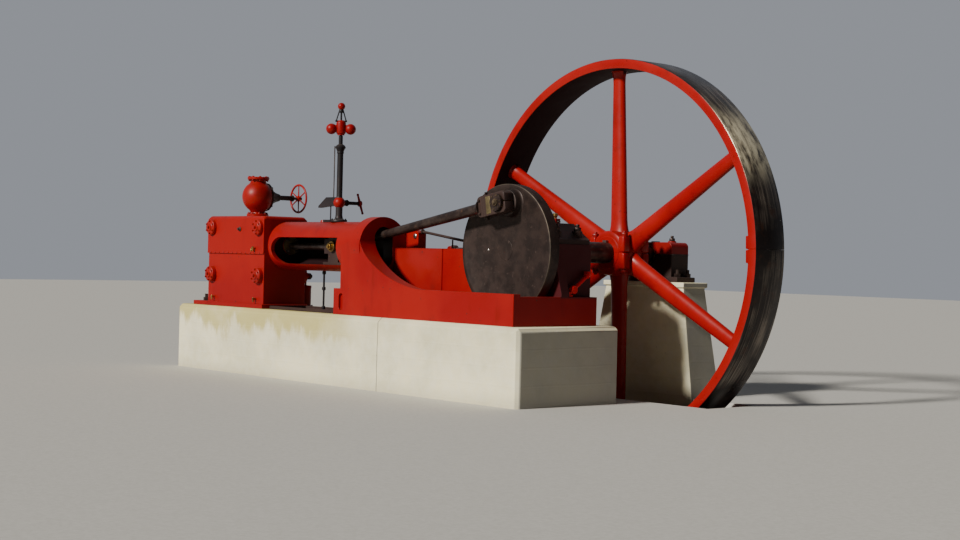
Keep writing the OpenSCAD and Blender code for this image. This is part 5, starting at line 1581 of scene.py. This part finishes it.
@dataclass
class ValveGear:
    """The dressings of the valve gear on the far side."""

    plate: Point = (-4.808, 0.44, 2.311)
    plate_r: float = 0.235
    pots_x: tuple[float, float] = (-4.404, -5.212)
    pots_y: float = 0.524
    rod_end: tuple[float, float] = (0.504, 2.76)
    bonnet_face: float = 0.369
    crank_face: float = 0.476

    def plate_casting(self) -> None:
        """Builds the wrist plate as a rimmed disc with a hub and lightening ribs."""
        form = Former()
        r = self.plate_r
        x, y, z = self.plate
        form.turned([(0.0, -0.018), (r - 0.004, -0.018), (r, -0.012), (r, 0.012), (r - 0.004, 0.018),
                     (r - 0.03, 0.018), (r - 0.036, 0.012), (r - 0.04, 0.004), (0.085, 0.004),
                     (0.075, 0.012), (0.07, 0.018), (0.066, 0.026), (0.0, 0.026)],
                    (x, y, z), FAR, 72)
        form.turned([(0.0, 0.0), (0.06, 0.0), (0.06, 0.09), (0.066, 0.1), (0.0, 0.1)],
                    (x, CASING_FAR - 0.012, z), FAR, 40)
        for k in range(4):
            spin = Matrix.Rotation(math.radians(45 + 90 * k), 4, "Y")
            form.block((-0.012, 0.0, 0.06), (0.012, 0.016, r - 0.03), 0.003, 1,
                       Matrix.Translation(self.plate) @ spin)
        piece = form.finish("wrist_plate_casting", Body.FRAME, SHADED_RED, "wrist_plate")
        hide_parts("wrist_plate")

    def pots(self) -> None:
        """Builds the dash pots with their lids and nuts."""
        form, nuts = Former(), Former()
        y, (rod_y, rod_z) = self.pots_y, self.rod_end
        for x in self.pots_x:
            form.turned([(0.0, 0.0), (0.105, 0.0), (0.105, 0.022), (0.1, 0.03), (0.082, 0.032),
                         (0.075, 0.04), (0.075, 0.262), (0.079, 0.266), (0.079, 0.29),
                         (0.074, 0.3), (0.03, 0.3), (0.026, 0.304), (0.0, 0.304)],
                        (x, y, BLOCK_TOP), UP, 48)
            form.bar((x, y, BLOCK_TOP + 0.3), (x, y, rod_z), 0.011, sides=20)
            form.bar((x, rod_y, rod_z), (x, y + 0.011, rod_z), 0.018, sides=24)
            nuts.nut_circle((x, y, BLOCK_TOP + 0.03), UP, 0.092, 4, 45.0, 0.018, 0.004)
        piece = form.finish("dash_pot_castings", Body.FRAME, SHADED_RED, "dash_pots")
        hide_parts("dash_pots")
        nuts.finish("dash_pot_nuts", Body.FRAME, OXIDE, "foundation_nuts")

    def far_bonnets(self) -> None:
        """Adds the nuts of the far bonnets and the nuts on the crank spindles."""
        nuts = Former()
        for x, z in BONNETS:
            nuts.nut_circle((x, self.bonnet_face, z), FAR, 0.076, 6, 30.0, 0.024, 0.006)
            nuts.nut((x, self.crank_face, z), FAR, 0.045, 0.006)
        nuts.finish("far_bonnet_nuts", Body.FRAME, OXIDE, "foundation_nuts")

    def build(self) -> None:
        """Builds the gear's castings and rounds its rocker."""
        self.plate_casting()
        self.pots()
        self.far_bonnets()
        Softened("rocker_bracket", SHADED_RED, width=0.005).build()
        Softened("rocker_arm", SHADED_RED, width=0.005).build()


@dataclass
class Wheel:
    """The two-part flywheel."""

    near: float = 1.741
    width: float = 0.484
    radius: float = 2.2848
    thick: float = 0.113
    hub_radius: float = 0.265
    hub_length: float = 0.432
    angle: float = 1.86
    lug_half: float = 0.285
    lug_height: float = 0.195
    hub_bore: float = 0.125
    bolt_x: float = 0.24
    spoke: tuple[Point, ...] = (
        (0.2, 0.1, 0.15), (0.27, 0.086, 0.132), (0.33, 0.0775, 0.121), (0.4, 0.0742, 0.1155),
        (0.5, 0.0731, 0.1137), (1.3, 0.0645, 0.0982), (2.02, 0.0563, 0.0848), (2.1, 0.06, 0.088),
        (2.14, 0.069, 0.096), (2.162, 0.08, 0.107), (2.176, 0.094, 0.12))

    def half(self, name: str, turn: float) -> bpy.types.Object:
        """Builds one half of the wheel from the split line upwards.

        Args:
            name: Node that the half stands for.
            turn: Degrees of the split line from +X.

        Returns:
            The half's object.
        """
        form = Former()
        w, r0, r1, c = self.width / 2, self.radius - self.thick, self.radius, 0.01
        d = c * 0.3
        rim = [(r0 + c, -w), (r1 - c, -w), (r1 - d, -w + d), (r1, -w + c), (r1, w - c),
               (r1 - d, w - d), (r1 - c, w), (r0 + c, w), (r0 + d, w - d), (r0, w - c),
               (r0 - 0.008, 0.0), (r0, -w + c), (r0 + d, -w + d)]
        form.turned(rim, ORIGIN, UP, 192, 179.93, 0.035, True)
        h, b = self.hub_length / 2, self.hub_bore
        hub = [(b, -h), (0.19, -h), (0.2, -h + 0.008), (0.235, -h + 0.008), (0.257, -h + 0.02),
               (self.hub_radius, -h + 0.045), (self.hub_radius, h - 0.045), (0.257, h - 0.02),
               (0.235, h - 0.008), (0.2, h - 0.008), (0.19, h), (b, h)]
        form.turned(hub, ORIGIN, UP, 96, 179.4, 0.3, True)
        lying = Matrix.Rotation(math.radians(90), 4, "Y")
        for degrees in (30.0, 90.0, 150.0):
            form.lofted(self.spoke, Matrix.Rotation(math.radians(degrees), 4, "Z") @ lying, 40)
        for m in (-1, 1):
            x = m * (r0 - 0.053)
            form.block((x - 0.06, 0.004, -0.15), (x + 0.06, 0.15, 0.15), 0.012)
            x0, x1 = sorted((m * 0.19, m * self.lug_half))
            for side in (-1, 1):
                z0, z1 = sorted((side * 0.106, side * h))
                form.block((x0, 0.003, z0), (x1, self.lug_height, z1), 0.02, 3)
        self.stand(form, turn)
        piece = form.finish(f"{name}_casting", Body.CRANK, WHEEL, name)
        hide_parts(name)
        return piece

    def stand(self, form: Former, turn: float) -> None:
        """Turns what was gathered in the wheel's plane upright on the shaft."""
        matrix = (Matrix.Translation((0.0, self.near + self.width / 2, SHAFT))
                  @ Matrix.Rotation(math.radians(-turn), 4, "Y")
                  @ Matrix.Rotation(math.radians(90), 4, "X"))
        bmesh.ops.transform(form.bm, matrix=matrix, verts=form.bm.verts)

    def bolts(self) -> None:
        """Builds the joint bolts of the rim and of the hub."""
        rim, hub = Former(), Former()
        x = self.radius - self.thick - 0.056
        for m in (-1, 1):
            for z in (-0.08, 0.08):
                rim.bar((m * x, -0.15, z), (m * x, 0.15, z), 0.0198, sides=20)
                for s in (-1, 1):
                    rim.nut((m * x, s * 0.15, z), (0, s, 0), 0.066, 0.014)
            for z in (-self.hub_length / 2 + 0.06, self.hub_length / 2 - 0.06):
                for s in (-1, 1):
                    hub.nut((m * self.bolt_x, s * self.lug_height, z), (0, s, 0), 0.072, 0.02)
        for form, node in ((rim, "rim_joint_bolts"), (hub, "hub_bolts")):
            self.stand(form, self.angle)
            piece = form.finish(f"{node}_with_nuts", Body.CRANK, SHADED_RED, node)
            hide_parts(node)
        key = Former()
        key.block((-0.03, -0.5, SHAFT + 0.11), (0.03, 0.0, SHAFT + 0.15), 0.004, 1,
                  Matrix.Translation((0, self.near + self.width / 2 + 0.24, 0)))
        key.finish("hub_key", Body.CRANK, STEEL, "crankshaft")

    def build(self) -> None:
        """Builds both halves and what joins them."""
        self.half("flywheel_upper_half", self.angle)
        self.half("flywheel_lower_half", self.angle + 180.0)
        self.bolts()


@dataclass
class Studio:
    """The camera, the lights and the floor with its pit."""

    eye: Point = (13.545, -11.841, 2.439)
    yaw: float = 0.860631422
    pitch: float = -0.00766469805
    roll: float = 0.0245787123
    focal_px: float = 1620.19
    light: Point = (0.03, 1.0, -0.586)
    backdrop: Point = (-0.758, 0.652, 0.0)
    sun: float = 4.9
    sun_angle: float = 7.0
    sun_colour: Colour = (1.0, 0.95, 0.86)
    sky: Colour = (0.68, 0.72, 0.8)
    fill: float = 0.05
    glow: float = 0.42
    sensor: float = 36.0
    frame_px: float = 960.0
    floor_size: float = 60.0
    pit_low: tuple[float, float] = (-1.8, 1.58)
    pit_high: tuple[float, float] = (1.8, 2.386)

    def camera(self) -> None:
        """Places the camera at the solved point of view."""
        forward = Vector((-math.sin(self.yaw) * math.cos(self.pitch),
                          math.cos(self.yaw) * math.cos(self.pitch), math.sin(self.pitch)))
        level = forward.cross(Vector(UP)).normalized()
        upright = level.cross(forward)
        right = math.cos(self.roll) * level + math.sin(self.roll) * upright
        up = -math.sin(self.roll) * level + math.cos(self.roll) * upright
        data = bpy.data.cameras.new("view")
        data.sensor_width = self.sensor
        data.lens = self.focal_px * self.sensor / self.frame_px
        data.clip_end = 300.0
        camera = bpy.data.objects.new("view", data)
        camera.matrix_world = Matrix((
            (right.x, up.x, -forward.x, self.eye[0]), (right.y, up.y, -forward.y, self.eye[1]),
            (right.z, up.z, -forward.z, self.eye[2]), (0, 0, 0, 1)))
        bpy.context.scene.collection.objects.link(camera)
        bpy.context.scene.camera = camera

    def lights(self) -> None:
        """Adds a large key light from the near side and a sky that is paler behind the engine."""
        key = bpy.data.lights.new("key", "SUN")
        key.energy = self.sun
        key.angle = math.radians(self.sun_angle)
        key.color = self.sun_colour
        lamp = bpy.data.objects.new("key", key)
        lamp.rotation_euler = Vector(self.light).to_track_quat("-Z", "Y").to_euler()
        bpy.context.scene.collection.objects.link(lamp)
        world = bpy.data.worlds.new("sky")
        bpy.context.scene.world = world
        world.use_nodes = True
        tree = world.node_tree
        sky = tree.nodes["Background"]
        sky.inputs["Color"].default_value = (*self.sky, 1.0)
        toward = tree.nodes.new("ShaderNodeVectorMath")
        toward.operation = "DOT_PRODUCT"
        toward.inputs[1].default_value = self.backdrop
        tree.links.new(tree.nodes.new("ShaderNodeTexCoord").outputs["Generated"],
                       toward.inputs[0])
        share = tree.nodes.new("ShaderNodeMapRange")
        for socket, value in (("From Min", 0.0), ("From Max", 0.8), ("To Min", self.fill),
                              ("To Max", self.glow)):
            share.inputs[socket].default_value = value
        tree.links.new(toward.outputs["Value"], share.inputs["Value"])
        tree.links.new(share.outputs["Result"], sky.inputs["Strength"])

    def floor(self) -> None:
        """Lays the pale floor at ground level, with the pit that the wheel turns in."""
        bm = bmesh.new()
        bmesh.ops.create_grid(bm, x_segments=1, y_segments=1, size=self.floor_size,
                              matrix=Matrix.Translation((0, 0, GROUND)))
        for corner, normal in ((self.pit_low, (1, 0)), (self.pit_low, (0, 1)),
                               (self.pit_high, (1, 0)), (self.pit_high, (0, 1))):
            bmesh.ops.bisect_plane(bm, geom=bm.verts[:] + bm.edges[:] + bm.faces[:],
                                   plane_co=(*corner, GROUND), plane_no=(*normal, 0))
        centre = Vector(((self.pit_low[0] + self.pit_high[0]) / 2,
                         (self.pit_low[1] + self.pit_high[1]) / 2))
        hole = [f for f in bm.faces if (f.calc_center_median().xy - centre).length < 0.05]
        walls = bmesh.ops.extrude_face_region(bm, geom=hole)["geom"]
        sunk = [g for g in walls if isinstance(g, bmesh.types.BMVert)]
        bmesh.ops.translate(bm, verts=sunk, vec=(0, 0, -GROUND + 0.002))
        bmesh.ops.delete(bm, geom=[f for f in hole if f.is_valid], context="FACES_ONLY")
        mesh = bpy.data.meshes.new("floor")
        bm.to_mesh(mesh)
        bm.free()
        floor = bpy.data.objects.new("floor", mesh)
        s = Shader("pale_floor")
        grain = s.between(s.noise(30.0, 5.0), 0.3, 0.7)
        mesh.materials.append(s.dress(
            Base_Color=s.blend(grain, (0.5, 0.49, 0.46), (0.56, 0.55, 0.52)), Roughness=0.95,
            Specular_IOR_Level=0.2))
        bpy.context.scene.collection.objects.link(floor)

    def build(self) -> None:
        """Sets up the whole studio."""
        self.camera()
        self.lights()
        self.floor()
        LOG.info("studio ready")


def main() -> None:
    """Builds every sub-assembly in order."""
    Studio().build()
    CadDressing({
        "wheel_pit_footing": PIER, "piston_rod_gland": BRONZE, "throttle_stem": STEEL,
        "main_bearing_shells": BRASS, "outboard_bearing_shells": BRASS, "crankshaft": OXIDE,
        "crank_pin": OXIDE, "eccentric_sheave": STEEL, "eccentric_rod": STEEL,
        "big_end_brasses": BRASS, "wrist_pin": BRASS, "piston_rod": STEEL, "reach_rod": STEEL,
        "valve_cranks": STEEL, "valve_rods": STEEL, "foundation_nuts": OXIDE,
    }).dress()
    for part in (Foundation(), Bed(), Barrel(), Cylinder(), Throttle(), Governor(), Crank(), Rod(),
                 Crosshead(), Outboard(), Eccentric(), ValveGear(), Wheel()):
        part.build()
        LOG.info("built %s", type(part).__name__)


if __name__ == "__main__":
    main()
